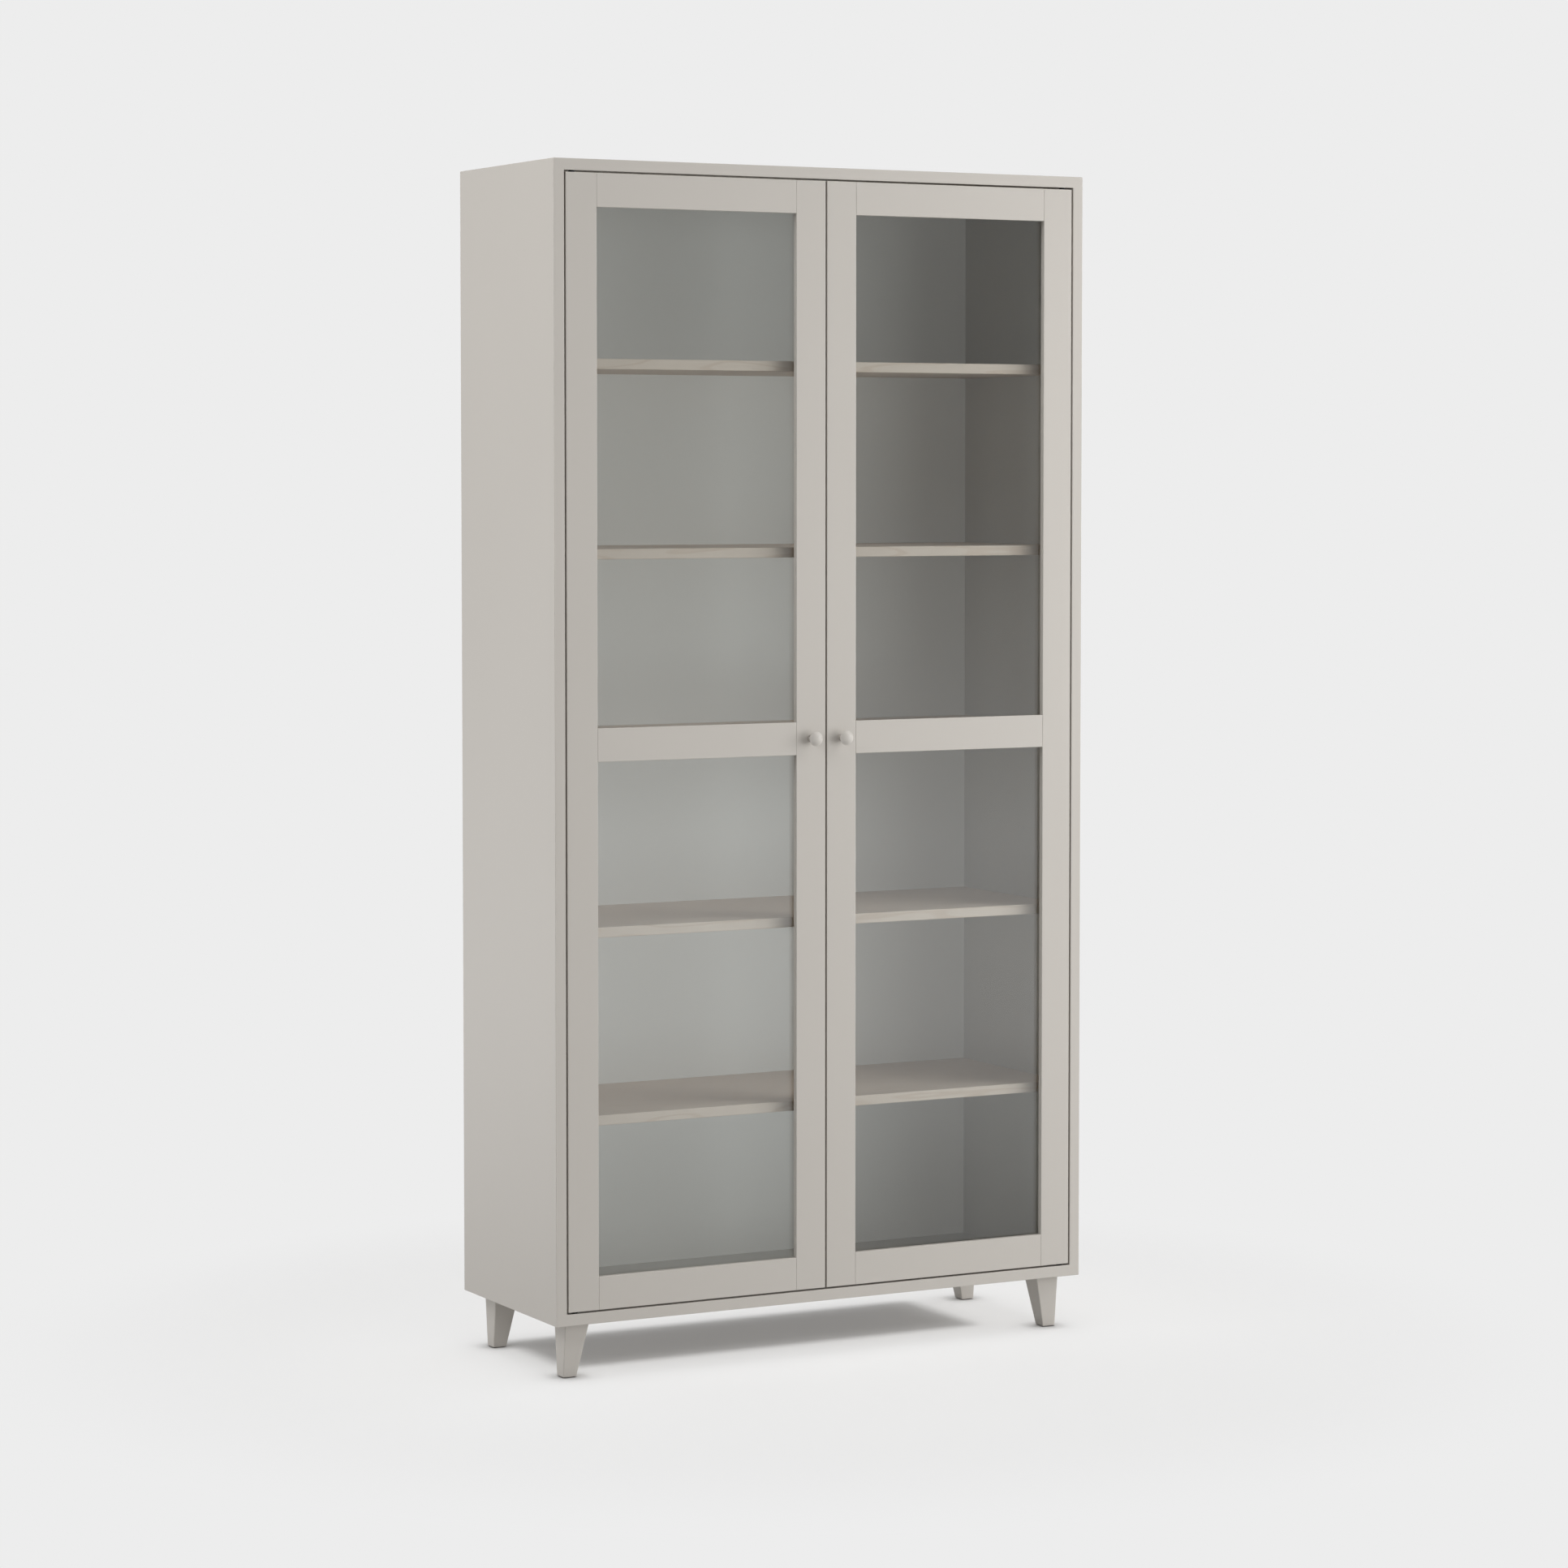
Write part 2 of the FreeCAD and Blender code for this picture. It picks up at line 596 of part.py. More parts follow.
def beads(low, high):
    """Four mitred beads that hold a pane in its rebate from behind."""
    edge = GLASS_REBATE - GLUE_GAP
    return mitred_frame(OPENING_LEFT - edge, OPENING_RIGHT + edge, low - edge, high + edge,
                        edge - BEAD_SETBACK, GLASS_REAR, DOOR_REAR)


def knob():
    """A mushroom knob, turned about an axis square to the door."""
    waist = Vector(KNOB_WAIST_DIAMETER / 2.0, 0, KNOB_WAIST_HEIGHT)
    rim = Vector(KNOB_HEAD_DIAMETER / 2.0, 0, KNOB_RIM_HEIGHT)
    rim_edge = KNOB_RIM_THICKNESS / 2.0
    under_rim = rim + Vector(-rim_edge, 0, -rim_edge)
    over_rim = rim + Vector(-rim_edge, 0, rim_edge)
    centre = Vector(0, 0, 0)
    base = Vector(KNOB_NECK_DIAMETER / 2.0, 0, 0)
    crown = Vector(0, 0, KNOB_PROJECTION)
    flare = under_rim - waist
    flare_radius = (flare.x ** 2 + flare.z ** 2) / (2 * flare.x)
    flare_turn = math.asin(flare.z / flare_radius) / 2.0
    flare_middle = waist + Vector(flare_radius * (1 - math.cos(flare_turn)), 0,
                                  flare_radius * math.sin(flare_turn))
    dome = crown.z - over_rim.z
    dome_radius = (over_rim.x ** 2 + dome ** 2) / (2 * dome)
    dome_turn = math.asin(over_rim.x / dome_radius) / 2.0
    dome_middle = crown + Vector(dome_radius * math.sin(dome_turn), 0,
                                 dome_radius * (math.cos(dome_turn) - 1))
    edges = [Part.LineSegment(centre, base), Part.LineSegment(base, waist),
             Part.Arc(waist, flare_middle, under_rim), Part.Arc(under_rim, rim, over_rim),
             Part.Arc(over_rim, dome_middle, crown), Part.LineSegment(crown, centre)]
    body = Part.Face(Part.Wire([edge.toShape() for edge in edges]))
    body = body.revolve(centre, UP, 360)
    body.Placement = FreeCAD.Placement(Vector(KNOB_X, FRONT, MID_RAIL_Z), FreeCAD.Rotation(UP, FORWARD))
    return one_solid(body.cut(knob_screw_hole()))


def knob_screw():
    """Machine screw with a flat head behind the stile."""
    start = Vector(KNOB_X, DOOR_REAR, MID_RAIL_Z)
    shank = rod(KNOB_SCREW_DIAMETER, start, FORWARD, DOOR_THICKNESS + KNOB_SCREW_IN_KNOB)
    head = rod(KNOB_SCREW_HEAD_DIAMETER, start, BACKWARD, KNOB_SCREW_HEAD_HEIGHT)
    return one_solid(shank.fuse(head))


def knob_screw_hole():
    """The hole through the stile and up into the knob."""
    start = Vector(KNOB_X, DOOR_REAR, MID_RAIL_Z)
    return rod(KNOB_SCREW_DIAMETER + 2 * SCREW_GAP, start, FORWARD,
               DOOR_THICKNESS + KNOB_SCREW_IN_KNOB + GLUE_GAP)


def pivot_screws(grow=0.0):
    """Two screws in each pivot plate, or their holes."""
    screws = []
    for offset in PIVOT_SCREW_OFFSETS:
        lower = screw(Vector(PIVOT_X + offset, PIVOT_Y, DOOR_BASE), UP, PIVOT_SCREW_LENGTH,
                      PIVOT_SCREW_SHANK, PIVOT_SCREW_HEAD, grow)
        screws += [lower, upside_down(lower, (DOOR_BASE + DOOR_TOP) / 2.0)]
    return screws


def pivot_plate(grow=0.0):
    """The plate let into the lower end of the hinge stile, or its recess."""
    x0 = PIVOT_X - PIVOT_PLATE_OVERHANG - grow
    x1 = PIVOT_X - PIVOT_PLATE_OVERHANG + PIVOT_PLATE_LENGTH + grow
    half = PIVOT_PLATE_WIDTH / 2.0 + grow
    return block(x0, x1, PIVOT_Y - half, PIVOT_Y + half, DOOR_BASE,
                 DOOR_BASE + PIVOT_PLATE_THICKNESS + grow)


def pivots():
    """The lower and upper pivot: a plate with a collar and a pin turned on it."""
    start = Vector(PIVOT_X, PIVOT_Y, DOOR_BASE)
    collar = rod(PIVOT_COLLAR_DIAMETER, start, DOWN, DOOR_GAP - MOVING_GAP)
    pin = rod(PIVOT_PIN_DIAMETER, start, DOWN, DOOR_GAP + PIVOT_PIN_IN_BUSH)
    lower = pivot_plate().fuse([collar, pin]).cut(pivot_screws(SCREW_GAP))
    lower = one_solid(lower)
    return [lower, upside_down(lower, (DOOR_BASE + DOOR_TOP) / 2.0)]


def pivot_recesses():
    """Recesses for the two plates in the ends of the hinge stile."""
    lower = pivot_plate(GLUE_GAP)
    return [lower, upside_down(lower, (DOOR_BASE + DOOR_TOP) / 2.0)]


def strike_screw(grow=0.0):
    """The screw through the strike plate, or its hole."""
    return screw(Vector(STRIKE_X, DOOR_REAR + STRIKE_THICKNESS, STRIKE_Z), FORWARD,
                 STRIKE_SCREW_LENGTH, STRIKE_SCREW_SHANK, STRIKE_SCREW_HEAD, grow)


def strike_plate():
    """Steel plate on the rear of the lock stile, opposite its magnet."""
    plate = block(STRIKE_X - STRIKE_WIDTH / 2.0, STRIKE_X + STRIKE_WIDTH / 2.0, DOOR_REAR,
                  DOOR_REAR + STRIKE_THICKNESS, STRIKE_Z - STRIKE_HEIGHT / 2.0,
                  STRIKE_Z + STRIKE_HEIGHT / 2.0)
    return one_solid(plate.cut(strike_screw(SCREW_GAP)))


def hinge_stile():
    """The outer upright, which carries the pivots."""
    bar = frame_bar(DOOR_LEFT, OPENING_LEFT, DOOR_BASE, DOOR_TOP)
    cuts = all_mortises() + glass_pockets() + pivot_recesses() + pivot_screws(SCREW_GAP)
    return one_solid(bar.cut(cuts))


def lock_stile():
    """The upright beside the meeting gap, which carries the knob and the strike."""
    bar = frame_bar(OPENING_RIGHT, DOOR_RIGHT, DOOR_BASE, DOOR_TOP)
    cuts = all_mortises() + glass_pockets() + [knob_screw_hole(), strike_screw(SCREW_GAP)]
    return one_solid(bar.cut(cuts))


def door_pieces():
    """Every piece of the left door by name. The right door mirrors it."""
    bottom, middle, top = [rail(low, high) for low, high in rail_spans()]
    return {
        "hinge_stile": [hinge_stile()],
        "lock_stile": [lock_stile()],
        "bottom_rail": [bottom],
        "middle_rail": [middle],
        "top_rail": [top],
        "upper_glass": [pane(*UPPER_OPENING)],
        "lower_glass": [pane(*LOWER_OPENING)],
        "upper_beads": beads(*UPPER_OPENING),
        "lower_beads": beads(*LOWER_OPENING),
        "knob": [knob()],
        "knob_screw": [knob_screw()],
        "pivots": pivots(),
        "pivot_screws": pivot_screws(),
        "strike_plate": [strike_plate()],
        "strike_screw": [strike_screw()],
    }


# ---------------------------------------------------------------- write every node

os.makedirs("parts", exist_ok=True)

bottom_board, right_board, top_board, left_board = carcass_boards()
save("bottom_panel", bottom_board)
save("right_side_panel", right_board)
save("top_panel", top_board)
save("left_side_panel", left_board)
save("back_panel", back_panel())
save("mitre_tongues", *tongues())
save("back_panel_screws", *back_screws())
save("pivot_bushes", *pivot_bushes())

for number in range(SHELF_COUNT):
    save("shelf_%d" % (number + 1), shelf(number))
save("shelf_lippings", *[lipping(number) for number in range(SHELF_COUNT)])
save("shelf_pins", *shelf_pins())

leg_names = ("front_left_leg", "front_right_leg", "back_left_leg", "back_right_leg")
for name, solid in zip(leg_names, in_all_corners(leg())):
    save(name, solid)
save("leg_inserts", *in_all_corners(leg_insert()))
save("leg_bolts", *in_all_corners(leg_bolt()))
save("leg_dowels", *in_all_corners(leg_dowel()))
save("leg_glides", *in_all_corners(leg_glide()))

save("catch_housing", catch_housing())
save("catch_magnets", *magnets())
save("catch_screws", *catch_screws())

for name, solids in door_pieces().items():
    save("left_door_" + name, *solids)
    save("right_door_" + name, *[mirrored_x(solid) for solid in solids])
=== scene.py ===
import math

import bmesh
import bpy
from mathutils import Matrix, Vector


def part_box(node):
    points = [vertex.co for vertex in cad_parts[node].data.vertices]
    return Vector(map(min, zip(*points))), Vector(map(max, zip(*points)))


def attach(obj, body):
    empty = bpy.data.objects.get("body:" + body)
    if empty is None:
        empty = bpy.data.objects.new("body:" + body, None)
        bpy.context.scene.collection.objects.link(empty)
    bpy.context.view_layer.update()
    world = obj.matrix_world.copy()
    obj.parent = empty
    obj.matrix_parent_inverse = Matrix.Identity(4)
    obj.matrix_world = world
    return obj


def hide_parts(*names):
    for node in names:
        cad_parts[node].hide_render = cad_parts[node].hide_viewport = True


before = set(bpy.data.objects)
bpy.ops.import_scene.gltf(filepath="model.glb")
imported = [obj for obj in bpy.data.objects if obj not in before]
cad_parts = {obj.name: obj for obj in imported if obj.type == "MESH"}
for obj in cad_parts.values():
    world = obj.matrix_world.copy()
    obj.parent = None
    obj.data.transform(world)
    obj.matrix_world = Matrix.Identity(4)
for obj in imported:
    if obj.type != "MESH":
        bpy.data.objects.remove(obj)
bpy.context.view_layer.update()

MM = 0.001
SIDES = ("left_door", "right_door")


# ---------------------------------------------------------------- carcass boards
# The bottom, top and side boards are 19 mm fibreboard, mitred at the corners and glued into
# one box. The box is sprayed all over with a warm grey pigmented lacquer in a satin sheen,
# and its edges are eased with fine paper before the last coat.

LACQUER = "#BFBAB3"
LACQUER_CLOUD = "#BCB7B0"
SATIN = 0.42
SATIN_SPREAD = 0.04
CLOUD_MM = 260
PEEL_MM = 5
PEEL_HEIGHT_MM = 0.003


def linear(colour):
    """The linear RGBA values of an sRGB hex colour."""
    channels = [int(colour[start:start + 2], 16) / 255 for start in (1, 3, 5)]
    light = [c / 12.92 if c <= 0.04045 else ((c + 0.055) / 1.055) ** 2.4 for c in channels]
    return (*light, 1.0)


def add(tree, kind, inputs=None, **settings):
    """A new node with its settings, and its inputs set to values or linked to sockets."""
    made = tree.nodes.new(kind)
    for name, value in settings.items():
        setattr(made, name, value)
    for name, value in (inputs or {}).items():
        for each in value if isinstance(value, list) else [value]:
            if isinstance(each, bpy.types.NodeSocket):
                tree.links.new(each, made.inputs[name])
            else:
                made.inputs[name].default_value = each
    return made


def empty_material(name):
    """A material with an empty tree, and the tree."""
    material = bpy.data.materials.new(name)
    material.use_nodes = True
    material.node_tree.nodes.clear()
    return material, material.node_tree


def show(tree, shader):
    """The shader goes to the material's output."""
    add(tree, "ShaderNodeOutputMaterial", {"Surface": shader.outputs[0]})


def dress(material, *nodes):
    """Gives CAD nodes a material in all their slots."""
    for name in nodes:
        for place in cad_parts[name].material_slots:
            place.material = material


def sprayed_lacquer(name, colour, cloud_colour, roughness, peel_mm=PEEL_MM):
    """Pigmented satin lacquer: an even warm grey with a faint cloud in the film, and the low
    orange peel of a spray gun, which softens reflections into a sheen. Real peel is 2 to 3 mm
    across; it is drawn at 5 mm so that it still shows."""
    material, tree = empty_material(name)
    place = add(tree, "ShaderNodeTexCoord").outputs["Object"]
    cloud = add(tree, "ShaderNodeTexNoise",
                {"Vector": place, "Scale": 1 / (CLOUD_MM * MM), "Detail": 2.0})
    tone = add(tree, "ShaderNodeMix",
               {"Factor": cloud.outputs["Fac"], "A": linear(cloud_colour), "B": linear(colour)},
               data_type="RGBA")
    peel = add(tree, "ShaderNodeTexNoise",
               {"Vector": place, "Scale": 1 / (peel_mm * MM), "Detail": 1.0})
    sheen = add(tree, "ShaderNodeMapRange",
                {"Value": peel.outputs["Fac"], "To Min": roughness - SATIN_SPREAD,
                 "To Max": roughness + SATIN_SPREAD})
    relief = add(tree, "ShaderNodeBump",
                 {"Height": peel.outputs["Fac"], "Distance": PEEL_HEIGHT_MM * MM})
    show(tree, add(tree, "ShaderNodeBsdfPrincipled",
                   {"Base Color": tone.outputs["Result"], "Roughness": sheen.outputs["Result"],
                    "Normal": relief.outputs["Normal"]}))
    return material


board_lacquer = sprayed_lacquer("satin_lacquer_on_board", LACQUER, LACQUER_CLOUD, SATIN)
dress(board_lacquer, "bottom_panel", "left_side_panel", "right_side_panel", "top_panel")


# ---------------------------------------------------------------- mitre tongues
# A beech tongue, cut from plain boards, is glued across each of the four mitres.
# Once the box is closed it can't be seen.

BEECH = "#CDA57C"
BEECH_RAY = "#A97F58"
RAY_LENGTH_MM = 3.0
RAY_WIDTH_MM = 0.6
RAY_START = 0.58
RAY_FULL = 0.7
BEECH_ROUGHNESS = 0.6


def planed_beech(name, along):
    """Planed steamed beech: pinkish tan, with the short darker flecks of its rays, which lie
    along the grain and give a plain, closely speckled face."""
    material, tree = empty_material(name)
    place = add(tree, "ShaderNodeTexCoord").outputs["Object"]
    across = 1 / (RAY_WIDTH_MM * MM)
    scale = [across, across, across]
    scale[along] = 1 / (RAY_LENGTH_MM * MM)
    grain = add(tree, "ShaderNodeMapping", {"Vector": place, "Scale": tuple(scale)})
    fleck = add(tree, "ShaderNodeTexNoise", {"Vector": grain.outputs["Vector"], "Scale": 1.0,
                                             "Detail": 1.0})
    spot = add(tree, "ShaderNodeMapRange",
               {"Value": fleck.outputs["Fac"], "From Min": RAY_START, "From Max": RAY_FULL})
    tone = add(tree, "ShaderNodeMix",
               {"Factor": spot.outputs["Result"], "A": linear(BEECH), "B": linear(BEECH_RAY)},
               data_type="RGBA")
    show(tree, add(tree, "ShaderNodeBsdfPrincipled",
                   {"Base Color": tone.outputs["Result"], "Roughness": BEECH_ROUGHNESS}))
    return material


dress(planed_beech("planed_beech_along_the_depth", 1), "mitre_tongues")


# ---------------------------------------------------------------- pivot bushes
# Four turned nylon bushes are pressed flush into the top and bottom boards. The pins of
# the doors turn in them without oil.

NYLON = "#DEDCD4"
NYLON_SHADE = "#D3D0C6"
NYLON_ROUGHNESS = 0.45
NYLON_GRAIN_MM = 1.5
NYLON_IOR = 1.53

nylon, tree = empty_material("moulded_nylon")
place = add(tree, "ShaderNodeTexCoord").outputs["Object"]
# Moulded nylon is a milky off-white with a soft shine, and very slightly uneven.
grain = add(tree, "ShaderNodeTexNoise",
            {"Vector": place, "Scale": 1 / (NYLON_GRAIN_MM * MM), "Detail": 2.0})
tone = add(tree, "ShaderNodeMix",
           {"Factor": grain.outputs["Fac"], "A": linear(NYLON_SHADE), "B": linear(NYLON)},
           data_type="RGBA")
show(tree, add(tree, "ShaderNodeBsdfPrincipled",
               {"Base Color": tone.outputs["Result"], "Roughness": NYLON_ROUGHNESS,
                "IOR": NYLON_IOR}))
dress(nylon, "pivot_bushes")


# ---------------------------------------------------------------- back panel and its screws
# A 6 mm board, lacquered like the carcass, drops into a rebate round the rear. Small
# countersunk screws of bright zinc plated steel hold it all the way round.

ZINC = "#C6CACD"
ZINC_SHADE = "#A9AEB2"
ZINC_ROUGHNESS = 0.34
PLATING_MOTTLE_MM = 1.2
PLATING_SPREAD = 0.06
BACK_SCREW_HEAD_MM = 6.0
BACK_SCREW_SHANK_MM = 3.0
BACK_SCREW_PITCH_MM = 1.3
CORE_SHARE = 0.66
RECESS_ARM_SHARE = 1 / 3
RECESS_BAR_SHARE = 1.9
RIDGE_SHARE = 0.17
MACHINE_CORE_SHARE = 1 - 1.5 * RIDGE_SHARE
ROUND_SEGMENTS = 24
THREAD_SEGMENTS = 10


def plated_steel(name, colour, shade, roughness, grain_mm):
    """Plated steel: a thin bright coat with the faint mottle that the bath leaves, so that
    its reflections are soft and slightly uneven."""
    material, tree = empty_material(name)
    place = add(tree, "ShaderNodeTexCoord").outputs["Object"]
    mottle = add(tree, "ShaderNodeTexNoise",
                 {"Vector": place, "Scale": 1 / (grain_mm * MM), "Detail": 3.0})
    tone = add(tree, "ShaderNodeMix",
               {"Factor": mottle.outputs["Fac"], "A": linear(shade), "B": linear(colour)},
               data_type="RGBA")
    gloss = add(tree, "ShaderNodeMapRange",
                {"Value": mottle.outputs["Fac"], "To Min": roughness - PLATING_SPREAD,
                 "To Max": roughness + PLATING_SPREAD})
    show(tree, add(tree, "ShaderNodeBsdfPrincipled",
                   {"Base Color": tone.outputs["Result"], "Metallic": 1.0,
                    "Roughness": gloss.outputs["Result"]}))
    return material


def solids_of(node):
    """The lowest and highest corner of each separate solid in a CAD node."""
    shape = bmesh.new()
    shape.from_mesh(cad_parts[node].data)
    bmesh.ops.remove_doubles(shape, verts=shape.verts, dist=0.001 * MM)
    shape.verts.index_update()
    reached = set()
    corners = []
    for first in shape.verts:
        if first.index in reached:
            continue
        reached.add(first.index)
        waiting = [first]
        places = []
        while waiting:
            vertex = waiting.pop()
            places.append(tuple(vertex.co))
            for edge in vertex.link_edges:
                other = edge.other_vert(vertex)
                if other.index not in reached:
                    reached.add(other.index)
                    waiting.append(other)
        corners.append((Vector([min(values) for values in zip(*places)]),
                        Vector([max(values) for values in zip(*places)])))
    shape.free()
    return corners


def new_tree(name, *sizes):
    """A Geometry Nodes tree that takes points, sizes, a turn and a finish, and gives a mesh."""
    tree = bpy.data.node_groups.new(name, "GeometryNodeTree")
    tree.interface.new_socket("Points", in_out="INPUT", socket_type="NodeSocketGeometry")
    for size in sizes:
        tree.interface.new_socket(size, in_out="INPUT", socket_type="NodeSocketFloat")
    tree.interface.new_socket("Turn", in_out="INPUT", socket_type="NodeSocketVector")
    tree.interface.new_socket("Finish", in_out="INPUT", socket_type="NodeSocketMaterial")
    tree.interface.new_socket("Mesh", in_out="OUTPUT", socket_type="NodeSocketGeometry")
    return tree, add(tree, "NodeGroupInput").outputs


def repeat(tree, given, shape):
    """The shape stands on every point, is made real and gets its finish: the tree's result."""
    turn = add(tree, "FunctionNodeEulerToRotation", {0: given["Turn"]})
    copies = add(tree, "GeometryNodeInstanceOnPoints",
                 {"Points": given["Points"], "Instance": shape, "Rotation": turn.outputs[0]})
    real = add(tree, "GeometryNodeRealizeInstances", {"Geometry": copies.outputs[0]})
    finished = add(tree, "GeometryNodeSetMaterial",
                   {"Geometry": real.outputs[0], "Material": given["Finish"]})
    add(tree, "NodeGroupOutput", {"Mesh": finished.outputs[0]})


def thread(tree, outside_radius, pitch, start, length):
    """A spiral ridge for a thread, from a start height along a length."""
    ridge = add(tree, "ShaderNodeMath", {0: outside_radius, 1: RIDGE_SHARE},
                operation="MULTIPLY").outputs[0]
    middle = add(tree, "ShaderNodeMath", {0: outside_radius, 1: ridge},
                 operation="SUBTRACT").outputs[0]
    turns = add(tree, "ShaderNodeMath", {0: length, 1: pitch}, operation="DIVIDE").outputs[0]
    spiral = add(tree, "GeometryNodeCurveSpiral",
                 {"Resolution": THREAD_SEGMENTS, "Rotations": turns, "Start Radius": middle,
                  "End Radius": middle, "Height": length})
    section = add(tree, "GeometryNodeCurvePrimitiveCircle", {"Resolution": 4, "Radius": ridge})
    solid = add(tree, "GeometryNodeCurveToMesh",
                {"Curve": spiral.outputs["Curve"], "Profile Curve": section.outputs["Curve"],
                 "Fill Caps": True})
    up = add(tree, "ShaderNodeCombineXYZ", {"Z": start}).outputs[0]
    return add(tree, "GeometryNodeTransform",
               {"Geometry": solid.outputs["Mesh"], "Translation": up}).outputs[0]


def grow(name, tree, points, finish, turn, **sizes):
    """What a tree makes on the points, as a plain mesh."""
    seeds = bpy.data.meshes.new(name)
    seeds.from_pydata([tuple(point) for point in points], [], [])
    grown = bpy.data.objects.new(name, seeds)
    bpy.context.scene.collection.objects.link(grown)
    modifier = grown.modifiers.new(name, "NODES")
    modifier.node_group = tree
    values = {size.replace("_", " ").title(): value for size, value in sizes.items()}
    values.update({"Turn": turn, "Finish": finish})
    for socket in tree.interface.items_tree:
        if socket.name in values:
            modifier[socket.identifier] = values[socket.name]
    evaluated = grown.evaluated_get(bpy.context.evaluated_depsgraph_get())
    plain = bpy.data.meshes.new_from_object(evaluated)
    grown.modifiers.clear()
    grown.data = plain
    return grown


# A countersunk screw: its face is at the point and its tip points up until it is turned.
countersunk_screw, given = new_tree("countersunk_screw", "Head Diameter", "Shank Diameter",
                                    "Length", "Pitch")
tree = countersunk_screw
head_radius = add(tree, "ShaderNodeMath", {0: given["Head Diameter"], 1: 0.5},
                  operation="MULTIPLY").outputs[0]
shank_radius = add(tree, "ShaderNodeMath", {0: given["Shank Diameter"], 1: 0.5},
                   operation="MULTIPLY").outputs[0]
core_radius = add(tree, "ShaderNodeMath", {0: shank_radius, 1: CORE_SHARE},
                  operation="MULTIPLY").outputs[0]
head_depth = add(tree, "ShaderNodeMath", {0: head_radius, 1: shank_radius},
                 operation="SUBTRACT").outputs[0]
under_head = add(tree, "ShaderNodeMath", {0: given["Length"], 1: head_depth},
                 operation="SUBTRACT").outputs[0]
core_length = add(tree, "ShaderNodeMath", {0: under_head, 1: given["Shank Diameter"]},
                  operation="SUBTRACT").outputs[0]
tip_start = add(tree, "ShaderNodeMath", {0: head_depth, 1: core_length}).outputs[0]
head = add(tree, "GeometryNodeMeshCone",
           {"Vertices": ROUND_SEGMENTS, "Radius Bottom": head_radius,
            "Radius Top": shank_radius, "Depth": head_depth})
arm = add(tree, "ShaderNodeMath", {0: given["Shank Diameter"], 1: RECESS_ARM_SHARE},
          operation="MULTIPLY").outputs[0]
# Each bar of the cross recess is centred on the face, so half of its height cuts into the head.
both_ways = add(tree, "ShaderNodeMath", {0: head_depth, 1: RECESS_BAR_SHARE},
                operation="MULTIPLY").outputs[0]
wide = add(tree, "ShaderNodeCombineXYZ",
           {"X": given["Shank Diameter"], "Y": arm, "Z": both_ways}).outputs[0]
tall = add(tree, "ShaderNodeCombineXYZ",
           {"X": arm, "Y": given["Shank Diameter"], "Z": both_ways}).outputs[0]
bars = [add(tree, "GeometryNodeMeshCube", {"Size": size}).outputs["Mesh"] for size in (wide, tall)]
driven = add(tree, "GeometryNodeMeshBoolean",
             {"Mesh 1": head.outputs["Mesh"], "Mesh 2": bars}, operation="DIFFERENCE",
             solver="EXACT")
core = add(tree, "GeometryNodeMeshCone",
           {"Vertices": THREAD_SEGMENTS, "Radius Bottom": core_radius,
            "Radius Top": core_radius, "Depth": core_length})
core_up = add(tree, "ShaderNodeCombineXYZ", {"Z": head_depth}).outputs[0]
core_placed = add(tree, "GeometryNodeTransform",
                  {"Geometry": core.outputs["Mesh"], "Translation": core_up})
tip = add(tree, "GeometryNodeMeshCone",
          {"Vertices": THREAD_SEGMENTS, "Radius Bottom": core_radius, "Radius Top": 0.0,
           "Depth": given["Shank Diameter"]})
tip_up = add(tree, "ShaderNodeCombineXYZ", {"Z": tip_start}).outputs[0]
tip_placed = add(tree, "GeometryNodeTransform",
                 {"Geometry": tip.outputs["Mesh"], "Translation": tip_up})
spiral = thread(tree, shank_radius, given["Pitch"], head_depth, core_length)
whole = add(tree, "GeometryNodeJoinGeometry",
            {"Geometry": [driven.outputs["Mesh"], core_placed.outputs[0],
                          tip_placed.outputs[0], spiral]})
repeat(tree, given, whole.outputs[0])

DOWN = (math.pi, 0.0, 0.0)
UP = (0.0, 0.0, 0.0)
FORWARD = (math.pi / 2, 0.0, 0.0)

zinc = plated_steel("bright_zinc_plated_steel", ZINC, ZINC_SHADE, ZINC_ROUGHNESS,
                    PLATING_MOTTLE_MM)
dress(board_lacquer, "back_panel")

corners = solids_of("back_panel_screws")
heads = [((low.x + high.x) / 2, high.y, (low.z + high.z) / 2) for low, high in corners]
back_screws = grow("back_screws", countersunk_screw, heads, zinc, FORWARD,
                   head_diameter=BACK_SCREW_HEAD_MM * MM, shank_diameter=BACK_SCREW_SHANK_MM * MM,
                   length=corners[0][1].y - corners[0][0].y, pitch=BACK_SCREW_PITCH_MM * MM)
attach(back_screws, "root")
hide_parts("back_panel_screws")


# ---------------------------------------------------------------- leg inserts, bolts and dowels
# Each leg hangs on a double-ended M8 bolt, screwed into the leg and into a threaded steel
# insert in the bottom board. A beech dowel beside the bolt stops the leg from turning.

BOLT_PITCH_MM = 1.25
BOLT_CHAMFER_MM = 0.8
INSERT_BORE_MM = 8.2
INSERT_PITCH_MM = 2.5
DOWEL_CHAMFER_MM = 1.0

